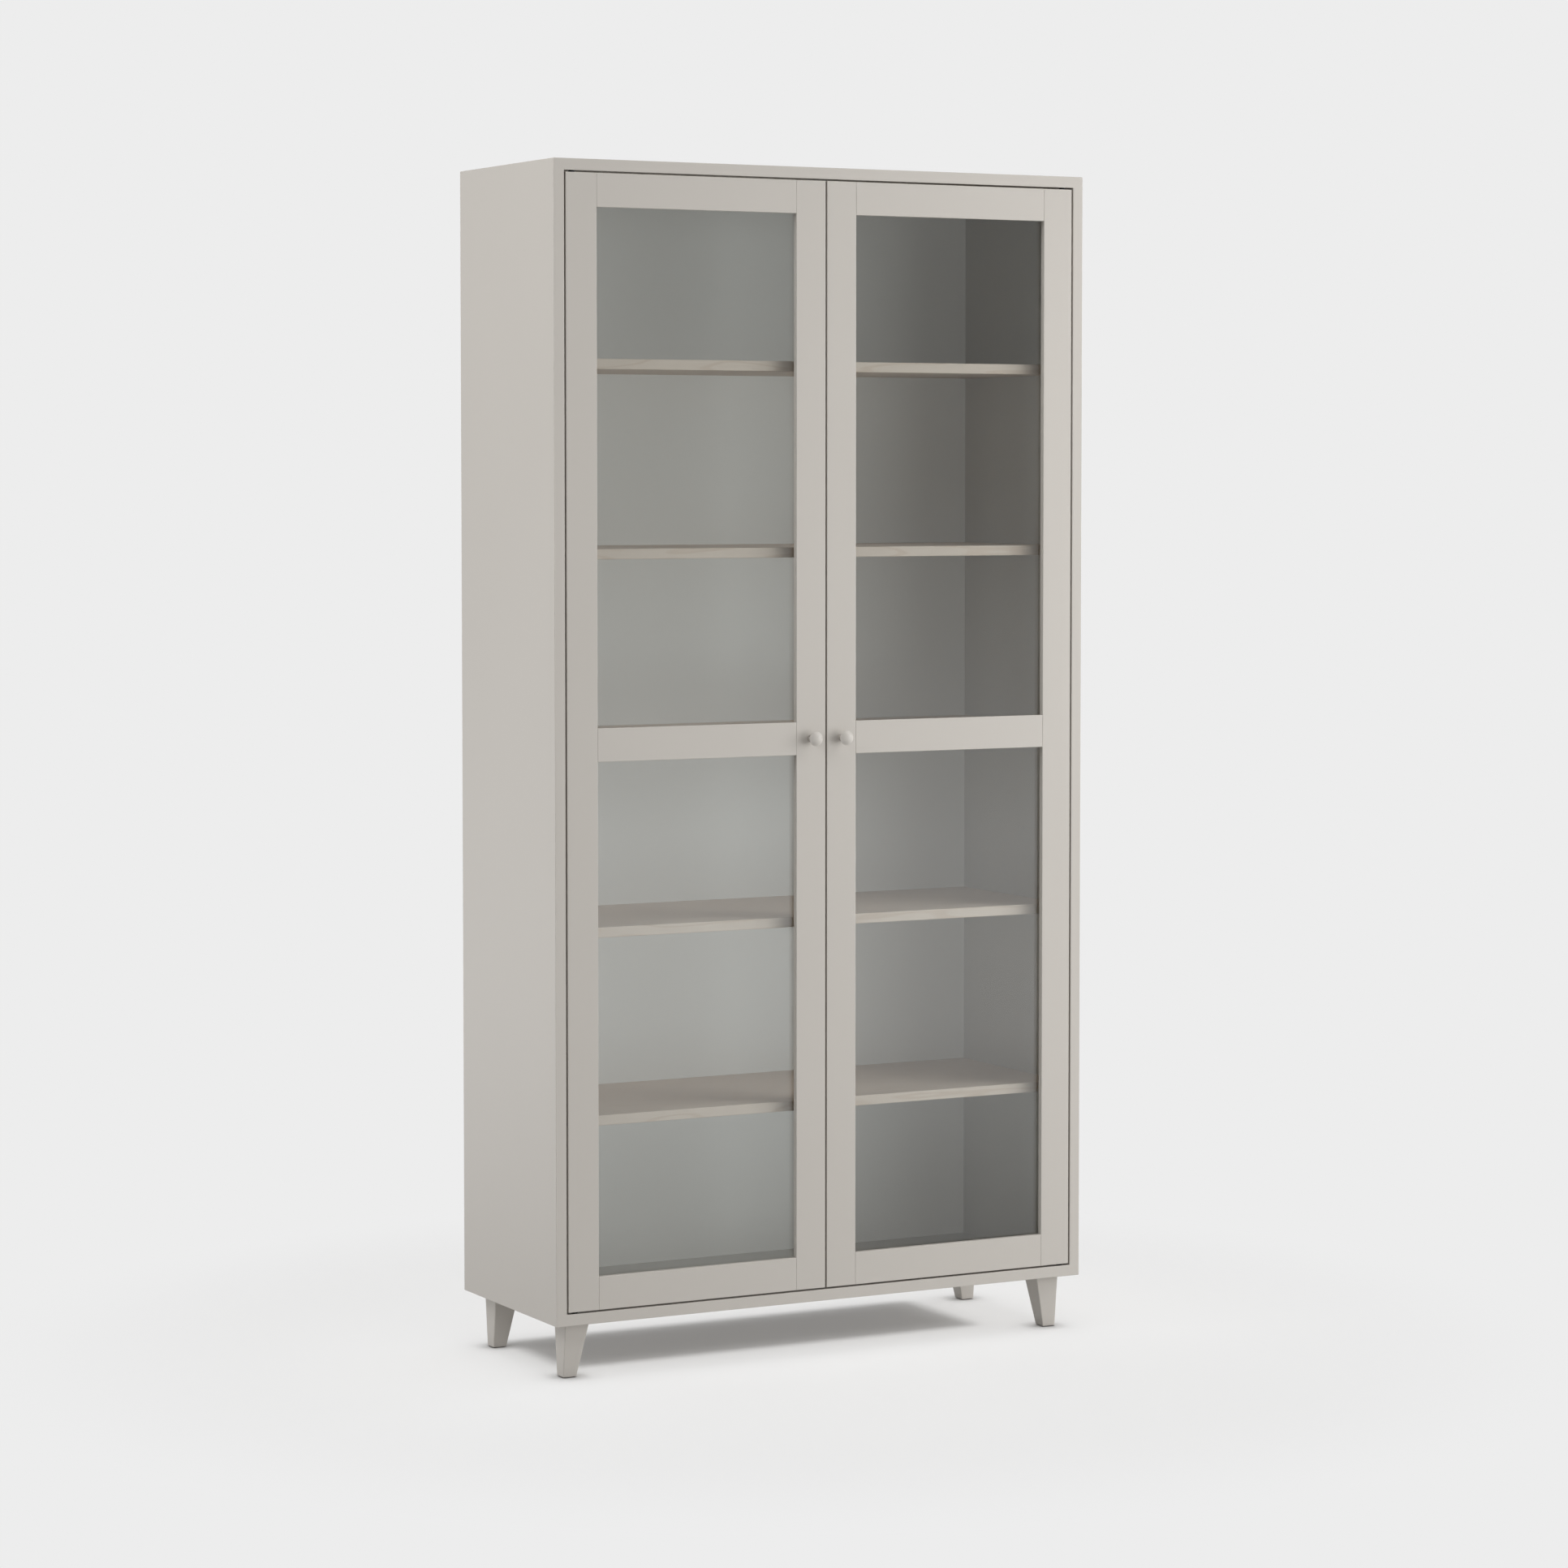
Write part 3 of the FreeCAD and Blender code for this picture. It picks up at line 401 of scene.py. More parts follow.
# A bar with a chamfer at each end, which stands up from its point.
chamfered_bar, given = new_tree("chamfered_bar", "Diameter", "Length", "Chamfer", "Pitch")
tree = chamfered_bar
radius = add(tree, "ShaderNodeMath", {0: given["Diameter"], 1: 0.5},
             operation="MULTIPLY").outputs[0]
threaded = add(tree, "FunctionNodeCompare", {"A": given["Pitch"], "B": 0.0},
               operation="GREATER_THAN").outputs[0]
core_share = add(tree, "ShaderNodeMapRange",
                 {"Value": threaded, "To Min": 1.0, "To Max": MACHINE_CORE_SHARE}).outputs[0]
body_radius = add(tree, "ShaderNodeMath", {0: radius, 1: core_share},
                  operation="MULTIPLY").outputs[0]
end_radius = add(tree, "ShaderNodeMath", {0: body_radius, 1: given["Chamfer"]},
                 operation="SUBTRACT").outputs[0]
both_chamfers = add(tree, "ShaderNodeMath", {0: given["Chamfer"], 1: 2.0},
                    operation="MULTIPLY").outputs[0]
middle_length = add(tree, "ShaderNodeMath", {0: given["Length"], 1: both_chamfers},
                    operation="SUBTRACT").outputs[0]
upper_end = add(tree, "ShaderNodeMath", {0: given["Length"], 1: given["Chamfer"]},
                operation="SUBTRACT").outputs[0]
lengths = (given["Chamfer"], middle_length, given["Chamfer"])
starts = (0.0, given["Chamfer"], upper_end)
below = (end_radius, body_radius, body_radius)
above = (body_radius, body_radius, end_radius)
lengthwise = []
for start, length, lower, upper in zip(starts, lengths, below, above):
    piece = add(tree, "GeometryNodeMeshCone",
                {"Vertices": ROUND_SEGMENTS, "Radius Bottom": lower, "Radius Top": upper,
                 "Depth": length})
    up = add(tree, "ShaderNodeCombineXYZ", {"Z": start}).outputs[0]
    lengthwise.append(add(tree, "GeometryNodeTransform",
                          {"Geometry": piece.outputs["Mesh"], "Translation": up}).outputs[0])
bar = add(tree, "GeometryNodeMeshBoolean", {"Mesh 2": lengthwise}, operation="UNION",
          solver="EXACT")
ridge = thread(tree, radius, given["Pitch"], given["Chamfer"], middle_length)
optional = add(tree, "GeometryNodeSwitch", {"Switch": threaded, "True": ridge},
               input_type="GEOMETRY")
whole = add(tree, "GeometryNodeJoinGeometry",
            {"Geometry": [bar.outputs["Mesh"], optional.outputs[0]]})
repeat(tree, given, whole.outputs[0])

# A threaded sleeve with a plain bore, which stands up from its point.
threaded_sleeve, given = new_tree("threaded_sleeve", "Diameter", "Length", "Bore", "Pitch")
tree = threaded_sleeve
radius = add(tree, "ShaderNodeMath", {0: given["Diameter"], 1: 0.5},
             operation="MULTIPLY").outputs[0]
wall_radius = add(tree, "ShaderNodeMath", {0: radius, 1: MACHINE_CORE_SHARE},
                  operation="MULTIPLY").outputs[0]
bore_radius = add(tree, "ShaderNodeMath", {0: given["Bore"], 1: 0.5},
                  operation="MULTIPLY").outputs[0]
bore_length = add(tree, "ShaderNodeMath", {0: given["Length"], 1: 2.0},
                  operation="MULTIPLY").outputs[0]
outside = add(tree, "GeometryNodeMeshCone",
              {"Vertices": ROUND_SEGMENTS, "Radius Bottom": wall_radius,
               "Radius Top": wall_radius, "Depth": given["Length"]})
drill = add(tree, "GeometryNodeMeshCylinder",
            {"Vertices": ROUND_SEGMENTS, "Radius": bore_radius, "Depth": bore_length})
drill_up = add(tree, "ShaderNodeCombineXYZ", {"Z": given["Length"]}).outputs[0]
drill_placed = add(tree, "GeometryNodeTransform",
                   {"Geometry": drill.outputs["Mesh"], "Translation": drill_up})
sleeve = add(tree, "GeometryNodeMeshBoolean",
             {"Mesh 1": outside.outputs["Mesh"], "Mesh 2": drill_placed.outputs[0]},
             operation="DIFFERENCE", solver="EXACT")
ridge = thread(tree, radius, given["Pitch"], 0.0, given["Length"])
whole = add(tree, "GeometryNodeJoinGeometry", {"Geometry": [sleeve.outputs["Mesh"], ridge]})
repeat(tree, given, whole.outputs[0])


def feet_of(node):
    """The middle of the underside of each solid in a node."""
    return [((low.x + high.x) / 2, (low.y + high.y) / 2, low.z) for low, high in solids_of(node)]


low, high = solids_of("leg_bolts")[0]
leg_bolts = grow("leg_bolts_threaded", chamfered_bar, feet_of("leg_bolts"), zinc, UP,
                 diameter=high.x - low.x, length=high.z - low.z, chamfer=BOLT_CHAMFER_MM * MM,
                 pitch=BOLT_PITCH_MM * MM)
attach(leg_bolts, "root")
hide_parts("leg_bolts")

low, high = solids_of("leg_inserts")[0]
leg_inserts = grow("leg_inserts_threaded", threaded_sleeve, feet_of("leg_inserts"), zinc, UP,
                   diameter=high.x - low.x, length=high.z - low.z, bore=INSERT_BORE_MM * MM,
                   pitch=INSERT_PITCH_MM * MM)
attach(leg_inserts, "root")
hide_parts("leg_inserts")

low, high = solids_of("leg_dowels")[0]
upright_beech = planed_beech("planed_beech_upright", 2)
leg_dowels = grow("leg_dowels_chamfered", chamfered_bar, feet_of("leg_dowels"), upright_beech,
                  UP, diameter=high.x - low.x, length=high.z - low.z,
                  chamfer=DOWEL_CHAMFER_MM * MM, pitch=0.0)
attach(leg_dowels, "root")
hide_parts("leg_dowels")


# ---------------------------------------------------------------- legs
# Each leg is sawn from one piece of beech, square and tapered on three sides, sanded, and
# sprayed with the same satin lacquer as the doors.

wood_lacquer = sprayed_lacquer("satin_lacquer_on_wood", LACQUER, LACQUER_CLOUD, SATIN)
dress(wood_lacquer, "front_left_leg", "front_right_leg", "back_left_leg", "back_right_leg")


# ---------------------------------------------------------------- leg glides
# A moulded nylon glide with a slightly domed face is nailed into a recess under each foot.

GLIDE_RADIUS_MM = 8.0
GLIDE_THICKNESS_MM = 3.5
GLIDE_EDGE_MM = 0.8
GLIDE_NAIL_RADIUS_MM = 1.5
LATHE_SEGMENTS = 64


def turned(name, profile, places, axis, segments, finish):
    """A lathe-turned shape at each place. The profile is (radius, height) points in metres,
    which start and end on the axis and run so that the faces point outwards."""
    upward = Vector(axis).to_track_quat("Z", "Y")
    shape = bmesh.new()
    for place in places:
        rings = []
        for radius, height in profile:
            steps = segments if radius > 0 else 1
            ring = []
            for step in range(steps):
                angle = math.tau * step / segments
                point = Vector((radius * math.cos(angle), radius * math.sin(angle), height))
                ring.append(shape.verts.new(Vector(place) + upward @ point))
            rings.append(ring)
        for lower, upper in zip(rings, rings[1:]):
            for step in range(segments):
                after = (step + 1) % segments
                around = [lower[step % len(lower)], lower[after % len(lower)],
                          upper[after % len(upper)], upper[step % len(upper)]]
                corners = [each for index, each in enumerate(around)
                           if each is not around[index - 1]]
                if len(corners) > 2:
                    shape.faces.new(corners).smooth = True
    bmesh.ops.recalc_face_normals(shape, faces=shape.faces)
    mesh = bpy.data.meshes.new(name)
    shape.to_mesh(mesh)
    shape.free()
    mesh.materials.append(finish)
    made = bpy.data.objects.new(name, mesh)
    bpy.context.scene.collection.objects.link(made)
    return made


low, high = solids_of("leg_glides")[0]
nail_top = (high.z - low.z) / MM
glide_profile = [(0.0, 0.0), (GLIDE_RADIUS_MM - 2 * GLIDE_EDGE_MM, 0.12),
                 (GLIDE_RADIUS_MM - 0.6 * GLIDE_EDGE_MM, 0.35),
                 (GLIDE_RADIUS_MM, GLIDE_EDGE_MM), (GLIDE_RADIUS_MM, GLIDE_THICKNESS_MM),
                 (GLIDE_NAIL_RADIUS_MM, GLIDE_THICKNESS_MM),
                 (GLIDE_NAIL_RADIUS_MM, nail_top - 2 * GLIDE_NAIL_RADIUS_MM), (0.0, nail_top)]
leg_glides = turned("leg_glides_domed", [(r * MM, h * MM) for r, h in glide_profile],
                    feet_of("leg_glides"), (0, 0, 1), LATHE_SEGMENTS, nylon)
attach(leg_glides, "root")
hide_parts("leg_glides")


# ---------------------------------------------------------------- shelf pins
# Twenty nickel plated steel pins, slightly chamfered, sit half in the side boards and half
# in slots under the ends of the shelves, which hide them.

NICKEL = "#CBC5BA"
NICKEL_SHADE = "#B1AA9E"
NICKEL_ROUGHNESS = 0.28
PIN_CHAMFER_MM = 0.4
SIDEWAYS = (0.0, math.pi / 2, 0.0)

nickel = plated_steel("nickel_plated_steel", NICKEL, NICKEL_SHADE, NICKEL_ROUGHNESS,
                      PLATING_MOTTLE_MM)
corners = solids_of("shelf_pins")
low, high = corners[0]
left_ends = [(low.x, (low.y + high.y) / 2, (low.z + high.z) / 2) for low, high in corners]
pins = grow("shelf_pins_chamfered", chamfered_bar, left_ends, nickel, SIDEWAYS,
            diameter=high.z - low.z, length=high.x - low.x, chamfer=PIN_CHAMFER_MM * MM,
            pitch=0.0)
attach(pins, "root")
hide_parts("shelf_pins")


# ---------------------------------------------------------------- shelves and lippings
# The five shelves are boards faced with plain-sawn birch veneer, its grain along their
# length, with a 2 mm solid birch lipping glued on the front. Both have a thin matt clear
# lacquer, and the lipping shows soft cathedral figure.

BIRCH = "#D4C3B3"
BIRCH_FIBRE = "#C8B3A1"
BIRCH_RING = "#B89C84"
BIRCH_MATT = 0.5
BIRCH_SPREAD = 0.05
FIBRE_LENGTH_MM = 90
FIBRE_WIDTH_MM = 1.1
FIGURE_LENGTH_MM = 210
FIGURE_WIDTH_MM = 26
RINGS_PER_FIGURE = 5.0
RING_START = 0.55
LIPPING_RINGS = 0.35
VENEER_RINGS = 0.21


def lacquered_birch(name, ring_strength):
    """Matt lacquered birch: pale and slightly pink, with fine straight fibres and a few soft
    brown growth lines that wander along the grain. Real fibres are under 0.1 mm wide; they
    are drawn 1.1 mm wide so that they still show."""
    material, tree = empty_material(name)
    place = add(tree, "ShaderNodeTexCoord").outputs["Object"]
    drawn_out = add(tree, "ShaderNodeMapping",
                    {"Vector": place,
                     "Scale": (1 / (FIBRE_LENGTH_MM * MM), 1 / (FIBRE_WIDTH_MM * MM),
                               1 / (FIBRE_WIDTH_MM * MM))})
    fibres = add(tree, "ShaderNodeTexNoise",
                 {"Vector": drawn_out.outputs["Vector"], "Scale": 1.0, "Detail": 3.0})
    ground = add(tree, "ShaderNodeMix",
                 {"Factor": fibres.outputs["Fac"], "A": linear(BIRCH_FIBRE), "B": linear(BIRCH)},
                 data_type="RGBA")
    long_waves = add(tree, "ShaderNodeMapping",
                     {"Vector": place,
                      "Scale": (1 / (FIGURE_LENGTH_MM * MM), 1 / (FIGURE_WIDTH_MM * MM),
                                1 / (FIGURE_WIDTH_MM * MM))})
    figure = add(tree, "ShaderNodeTexNoise",
                 {"Vector": long_waves.outputs["Vector"], "Scale": 1.0, "Detail": 0.5})
    rings = add(tree, "ShaderNodeMath",
                {0: figure.outputs["Fac"], 1: RINGS_PER_FIGURE * math.tau}, operation="MULTIPLY")
    wave = add(tree, "ShaderNodeMath", {0: rings.outputs[0]}, operation="SINE")
    line = add(tree, "ShaderNodeMapRange",
               {"Value": wave.outputs[0], "From Min": RING_START, "From Max": 1.0,
                "To Max": ring_strength}, interpolation_type="SMOOTHSTEP")
    tone = add(tree, "ShaderNodeMix",
               {"Factor": line.outputs["Result"], "A": ground.outputs["Result"],
                "B": linear(BIRCH_RING)}, data_type="RGBA")
    gloss = add(tree, "ShaderNodeMapRange",
                {"Value": fibres.outputs["Fac"], "To Min": BIRCH_MATT + BIRCH_SPREAD,
                 "To Max": BIRCH_MATT - BIRCH_SPREAD})
    show(tree, add(tree, "ShaderNodeBsdfPrincipled",
                   {"Base Color": tone.outputs["Result"],
                    "Roughness": gloss.outputs["Result"]}))
    return material


shelves = ["shelf_%d" % number for number in range(1, 6)]
dress(lacquered_birch("matt_lacquered_birch_veneer", VENEER_RINGS), *shelves)
dress(lacquered_birch("matt_lacquered_birch_lipping", LIPPING_RINGS), "shelf_lippings")

# The lamps shine past the shelves, so that the inside stays evenly lit from top to bottom.
for name in shelves + ["shelf_lippings"]:
    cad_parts[name].visible_shadow = False


# ---------------------------------------------------------------- magnetic catch
# A double magnetic catch under the middle of the top board holds both doors shut: a moulded
# nylon housing, two ferrite magnets, and a countersunk screw through each ear.

FERRITE = "#303034"
FERRITE_SHADE = "#222226"
FERRITE_ROUGHNESS = 0.55
FERRITE_GRAIN_MM = 0.8
CATCH_SCREW_HEAD_MM = 5.4
CATCH_SCREW_SHANK_MM = 3.0
CATCH_SCREW_PITCH_MM = 1.3

dress(nylon, "catch_housing")

# Sintered ferrite is near black with a dull, fine-grained face.
ferrite, tree = empty_material("sintered_ferrite")
place = add(tree, "ShaderNodeTexCoord").outputs["Object"]
grain = add(tree, "ShaderNodeTexNoise",
            {"Vector": place, "Scale": 1 / (FERRITE_GRAIN_MM * MM), "Detail": 3.0})
tone = add(tree, "ShaderNodeMix",
           {"Factor": grain.outputs["Fac"], "A": linear(FERRITE_SHADE), "B": linear(FERRITE)},
           data_type="RGBA")
show(tree, add(tree, "ShaderNodeBsdfPrincipled",
               {"Base Color": tone.outputs["Result"], "Roughness": FERRITE_ROUGHNESS}))
dress(ferrite, "catch_magnets")

corners = solids_of("catch_screws")
low, high = corners[0]
catch_screws = grow("catch_screws_driven", countersunk_screw, feet_of("catch_screws"), zinc, UP,
                    head_diameter=CATCH_SCREW_HEAD_MM * MM,
                    shank_diameter=CATCH_SCREW_SHANK_MM * MM, length=high.z - low.z,
                    pitch=CATCH_SCREW_PITCH_MM * MM)
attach(catch_screws, "root")
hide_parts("catch_screws")


# ---------------------------------------------------------------- door frames
# Each door is two stiles and three rails of planed hardwood, joined with stub tenons, with
# mitred beads behind the panes. All of it is sprayed with satin lacquer before glazing, and
# a fine line stays where each rail meets a stile.

FRAME_PIECES = ("hinge_stile", "lock_stile", "bottom_rail", "middle_rail", "top_rail",
                "upper_beads", "lower_beads")
dress(wood_lacquer, *["%s_%s" % (side, piece) for side in SIDES for piece in FRAME_PIECES])


# ---------------------------------------------------------------- panes
# Two panes of 4 mm clear float glass in each door lie against the front lip of the rebate.
# Float glass has a faint green cast, and mirrors about a twelfth of what stands before it.

GLASS_FACE_TINT = "#F7FAFB"
GLASS_IOR = 1.52
GLASS_ROUGHNESS = 0.02


def float_glass(name):
    """Clear float glass that lets the lamps through. Each face tints the light a little and
    mirrors by the angle, with the index turned over where the ray leaves the glass."""
    material, tree = empty_material(name)
    through = add(tree, "ShaderNodeBsdfTransparent", {"Color": linear(GLASS_FACE_TINT)})
    mirror = add(tree, "ShaderNodeBsdfGlossy", {"Roughness": GLASS_ROUGHNESS})
    inside = add(tree, "ShaderNodeNewGeometry").outputs["Backfacing"]
    index = add(tree, "ShaderNodeMapRange",
                {"Value": inside, "To Min": GLASS_IOR, "To Max": 1 / GLASS_IOR})
    share = add(tree, "ShaderNodeFresnel", {"IOR": index.outputs["Result"]})
    show(tree, add(tree, "ShaderNodeMixShader",
                   {0: share.outputs["Fac"], 1: through.outputs[0], 2: mirror.outputs[0]}))
    return material


dress(float_glass("clear_float_glass"),
      *["%s_%s_glass" % (side, pane) for side in SIDES for pane in ("upper", "lower")])


# ---------------------------------------------------------------- knobs and their screws
# Small mushroom knobs, turned from beech and sprayed a shade glossier than the doors. A
# machine screw with a flat head draws each of them onto its stile from behind.

KNOB_LACQUER = "#C4BFB8"
KNOB_SHEEN = 0.3
KNOB_PEEL_MM = 3
BORE_RADIUS_MM = 2.1
BORE_DEPTH_MM = 10.1
FOOT_RADIUS_MM = 6.0
WAIST_MM = (5.5, 7.0)
UNDER_RIM_MM = (11.3, 17.5)
RIM_MM = (12.2, 18.4)
OVER_RIM_MM = (11.3, 19.3)
CROWN_MM = (0.0, 24.0)
FLARE_BULGE_MM = (7.045, 12.996)
ARC_STEPS = 10
KNOB_SCREW_HEAD_MM = 8.0
KNOB_SCREW_HEAD_HEIGHT_MM = 2.4
KNOB_SCREW_SHANK_MM = 4.0
KNOB_SCREW_PITCH_MM = 0.7
SCREW_FACE_SHARE = 0.78


def arc(start, middle, end, steps):
    """Points along the circle through three points, without the first one."""
    (x1, y1), (x2, y2), (x3, y3) = start, middle, end
    turn = 2 * (x1 * (y2 - y3) + x2 * (y3 - y1) + x3 * (y1 - y2))
    squares = [x * x + y * y for x, y in (start, middle, end)]
    centre_x = (squares[0] * (y2 - y3) + squares[1] * (y3 - y1) + squares[2] * (y1 - y2)) / turn
    centre_y = (squares[0] * (x3 - x2) + squares[1] * (x1 - x3) + squares[2] * (x2 - x1)) / turn
    radius = math.hypot(x1 - centre_x, y1 - centre_y)
    first, halfway, last = [math.atan2(y - centre_y, x - centre_x)
                            for x, y in (start, middle, end)]
    span = (last - first) % math.tau
    if (halfway - first) % math.tau > span:
        span -= math.tau
    return [(centre_x + radius * math.cos(first + span * step / steps),
             centre_y + radius * math.sin(first + span * step / steps))
            for step in range(1, steps + 1)]


dome = CROWN_MM[1] - OVER_RIM_MM[1]
dome_radius = (OVER_RIM_MM[0] ** 2 + dome ** 2) / (2 * dome)
half_turn = math.asin(OVER_RIM_MM[0] / dome_radius) / 2
DOME_MM = (dome_radius * math.sin(half_turn),
           CROWN_MM[1] - dome_radius * (1 - math.cos(half_turn)))
knob_profile = [(0.0, BORE_DEPTH_MM), (BORE_RADIUS_MM, BORE_DEPTH_MM), (BORE_RADIUS_MM, 0.0),
                (FOOT_RADIUS_MM, 0.0), WAIST_MM]
knob_profile += arc(WAIST_MM, FLARE_BULGE_MM, UNDER_RIM_MM, ARC_STEPS)
knob_profile += arc(UNDER_RIM_MM, RIM_MM, OVER_RIM_MM, ARC_STEPS)
knob_profile += arc(OVER_RIM_MM, DOME_MM, CROWN_MM, ARC_STEPS)
knob_profile[-1] = CROWN_MM
knob_lacquer = sprayed_lacquer("semi_gloss_lacquer_on_turned_wood", KNOB_LACQUER,
                               LACQUER_CLOUD, KNOB_SHEEN, KNOB_PEEL_MM)

# A flat-headed machine screw: its seat is at the point and its shank points up.
machine_screw, given = new_tree("machine_screw", "Head Diameter", "Head Height",
                                "Shank Diameter", "Length", "Pitch")
tree = machine_screw
head_radius = add(tree, "ShaderNodeMath", {0: given["Head Diameter"], 1: 0.5},
                  operation="MULTIPLY").outputs[0]
face_radius = add(tree, "ShaderNodeMath", {0: head_radius, 1: SCREW_FACE_SHARE},
                  operation="MULTIPLY").outputs[0]
shank_radius = add(tree, "ShaderNodeMath", {0: given["Shank Diameter"], 1: 0.5},
                   operation="MULTIPLY").outputs[0]
core_radius = add(tree, "ShaderNodeMath", {0: shank_radius, 1: MACHINE_CORE_SHARE},
                  operation="MULTIPLY").outputs[0]
half_height = add(tree, "ShaderNodeMath", {0: given["Head Height"], 1: 0.5},
                  operation="MULTIPLY").outputs[0]
below_seat = add(tree, "ShaderNodeMath", {0: given["Head Height"], 1: -1.0},
                 operation="MULTIPLY").outputs[0]
below_half = add(tree, "ShaderNodeMath", {0: half_height, 1: -1.0},
                 operation="MULTIPLY").outputs[0]
crown = add(tree, "GeometryNodeMeshCone",
            {"Vertices": ROUND_SEGMENTS, "Radius Bottom": face_radius,
             "Radius Top": head_radius, "Depth": half_height})
flange = add(tree, "GeometryNodeMeshCone",
             {"Vertices": ROUND_SEGMENTS, "Radius Bottom": head_radius,
              "Radius Top": head_radius, "Depth": half_height})
crown_down = add(tree, "ShaderNodeCombineXYZ", {"Z": below_seat}).outputs[0]
flange_down = add(tree, "ShaderNodeCombineXYZ", {"Z": below_half}).outputs[0]
crown_placed = add(tree, "GeometryNodeTransform",
                   {"Geometry": crown.outputs["Mesh"], "Translation": crown_down}).outputs[0]
flange_placed = add(tree, "GeometryNodeTransform",
                    {"Geometry": flange.outputs["Mesh"], "Translation": flange_down}).outputs[0]
head = add(tree, "GeometryNodeMeshBoolean", {"Mesh 2": [crown_placed, flange_placed]},
           operation="UNION", solver="EXACT")
arm = add(tree, "ShaderNodeMath", {0: given["Shank Diameter"], 1: RECESS_ARM_SHARE},
          operation="MULTIPLY").outputs[0]
wide = add(tree, "ShaderNodeCombineXYZ",
           {"X": given["Shank Diameter"], "Y": arm, "Z": given["Head Height"]}).outputs[0]
tall = add(tree, "ShaderNodeCombineXYZ",
           {"X": arm, "Y": given["Shank Diameter"], "Z": given["Head Height"]}).outputs[0]
bars = []
for size in (wide, tall):
    bar = add(tree, "GeometryNodeMeshCube", {"Size": size})
    bars.append(add(tree, "GeometryNodeTransform",
                    {"Geometry": bar.outputs["Mesh"], "Translation": crown_down}).outputs[0])
driven = add(tree, "GeometryNodeMeshBoolean",
             {"Mesh 1": head.outputs["Mesh"], "Mesh 2": bars}, operation="DIFFERENCE",
             solver="EXACT")
core = add(tree, "GeometryNodeMeshCone",
           {"Vertices": THREAD_SEGMENTS, "Radius Bottom": core_radius,
            "Radius Top": core_radius, "Depth": given["Length"]})
spiral = thread(tree, shank_radius, given["Pitch"], 0.0, given["Length"])
whole = add(tree, "GeometryNodeJoinGeometry",
            {"Geometry": [driven.outputs["Mesh"], core.outputs["Mesh"], spiral]})
repeat(tree, given, whole.outputs[0])

for side in SIDES:
    low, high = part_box(side + "_knob")
    base = ((low.x + high.x) / 2, high.y, (low.z + high.z) / 2)
    knob = turned(side + "_turned_knob", [(r * MM, h * MM) for r, h in knob_profile], [base],
                  (0, -1, 0), LATHE_SEGMENTS, knob_lacquer)
    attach(knob, side)
    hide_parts(side + "_knob")
    low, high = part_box(side + "_knob_screw")
    seat = (base[0], high.y - KNOB_SCREW_HEAD_HEIGHT_MM * MM, base[2])
    bolt = grow(side + "_knob_machine_screw", machine_screw, [seat], zinc, FORWARD,
                head_diameter=KNOB_SCREW_HEAD_MM * MM, head_height=KNOB_SCREW_HEAD_HEIGHT_MM * MM,
                shank_diameter=KNOB_SCREW_SHANK_MM * MM, length=seat[1] - low.y,
                pitch=KNOB_SCREW_PITCH_MM * MM)
    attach(bolt, side)
    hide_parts(side + "_knob_screw")


# ---------------------------------------------------------------- pivots and their screws
# Each hinge stile has a blackened steel plate let into both ends, with a collar and a pin
# turned on it and two countersunk screws through it.

BLACKENED = "#2C2C2E"
BLACKENED_SHADE = "#1F1F21"
BLACKENED_ROUGHNESS = 0.5
BLACKENED_MOTTLE_MM = 2
PIVOT_SCREW_HEAD_MM = 6.0
PIVOT_SCREW_SHANK_MM = 3.0
PIVOT_SCREW_PITCH_MM = 1.3

blackened = plated_steel("blackened_steel", BLACKENED, BLACKENED_SHADE, BLACKENED_ROUGHNESS,
                         BLACKENED_MOTTLE_MM)
for side in SIDES:
    dress(blackened, side + "_pivots")
    corners = solids_of(side + "_pivot_screws")
    middle = sum(low.z + high.z for low, high in corners) / (2 * len(corners))
    for end, turn in (("lower", UP), ("upper", DOWN)):
        own = [(low, high) for low, high in corners if (low.z < middle) == (end == "lower")]
        faces = [((low.x + high.x) / 2, (low.y + high.y) / 2, low.z if end == "lower" else high.z)
                 for low, high in own]
        screws = grow("%s_%s_pivot_screws" % (side, end), countersunk_screw, faces, zinc, turn,
                      head_diameter=PIVOT_SCREW_HEAD_MM * MM,
                      shank_diameter=PIVOT_SCREW_SHANK_MM * MM, length=own[0][1].z - own[0][0].z,
                      pitch=PIVOT_SCREW_PITCH_MM * MM)
        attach(screws, side)
        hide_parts(side + "_pivot_screws")


# ---------------------------------------------------------------- strikes and their screws
# A small nickel plated plate on the rear of each lock stile meets its magnet. One
# countersunk screw holds it.

STRIKE_SCREW_HEAD_MM = 4.4
STRIKE_SCREW_SHANK_MM = 2.5
STRIKE_SCREW_PITCH_MM = 1.1

for side in SIDES:
    dress(nickel, side + "_strike_plate")
    low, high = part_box(side + "_strike_screw")
    face = ((low.x + high.x) / 2, high.y, (low.z + high.z) / 2)
    strike_screw = grow(side + "_strike_screw_driven", countersunk_screw, [face], zinc, FORWARD,
                        head_diameter=STRIKE_SCREW_HEAD_MM * MM,
                        shank_diameter=STRIKE_SCREW_SHANK_MM * MM, length=high.y - low.y,
                        pitch=STRIKE_SCREW_PITCH_MM * MM)
    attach(strike_screw, side)
    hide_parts(side + "_strike_screw")
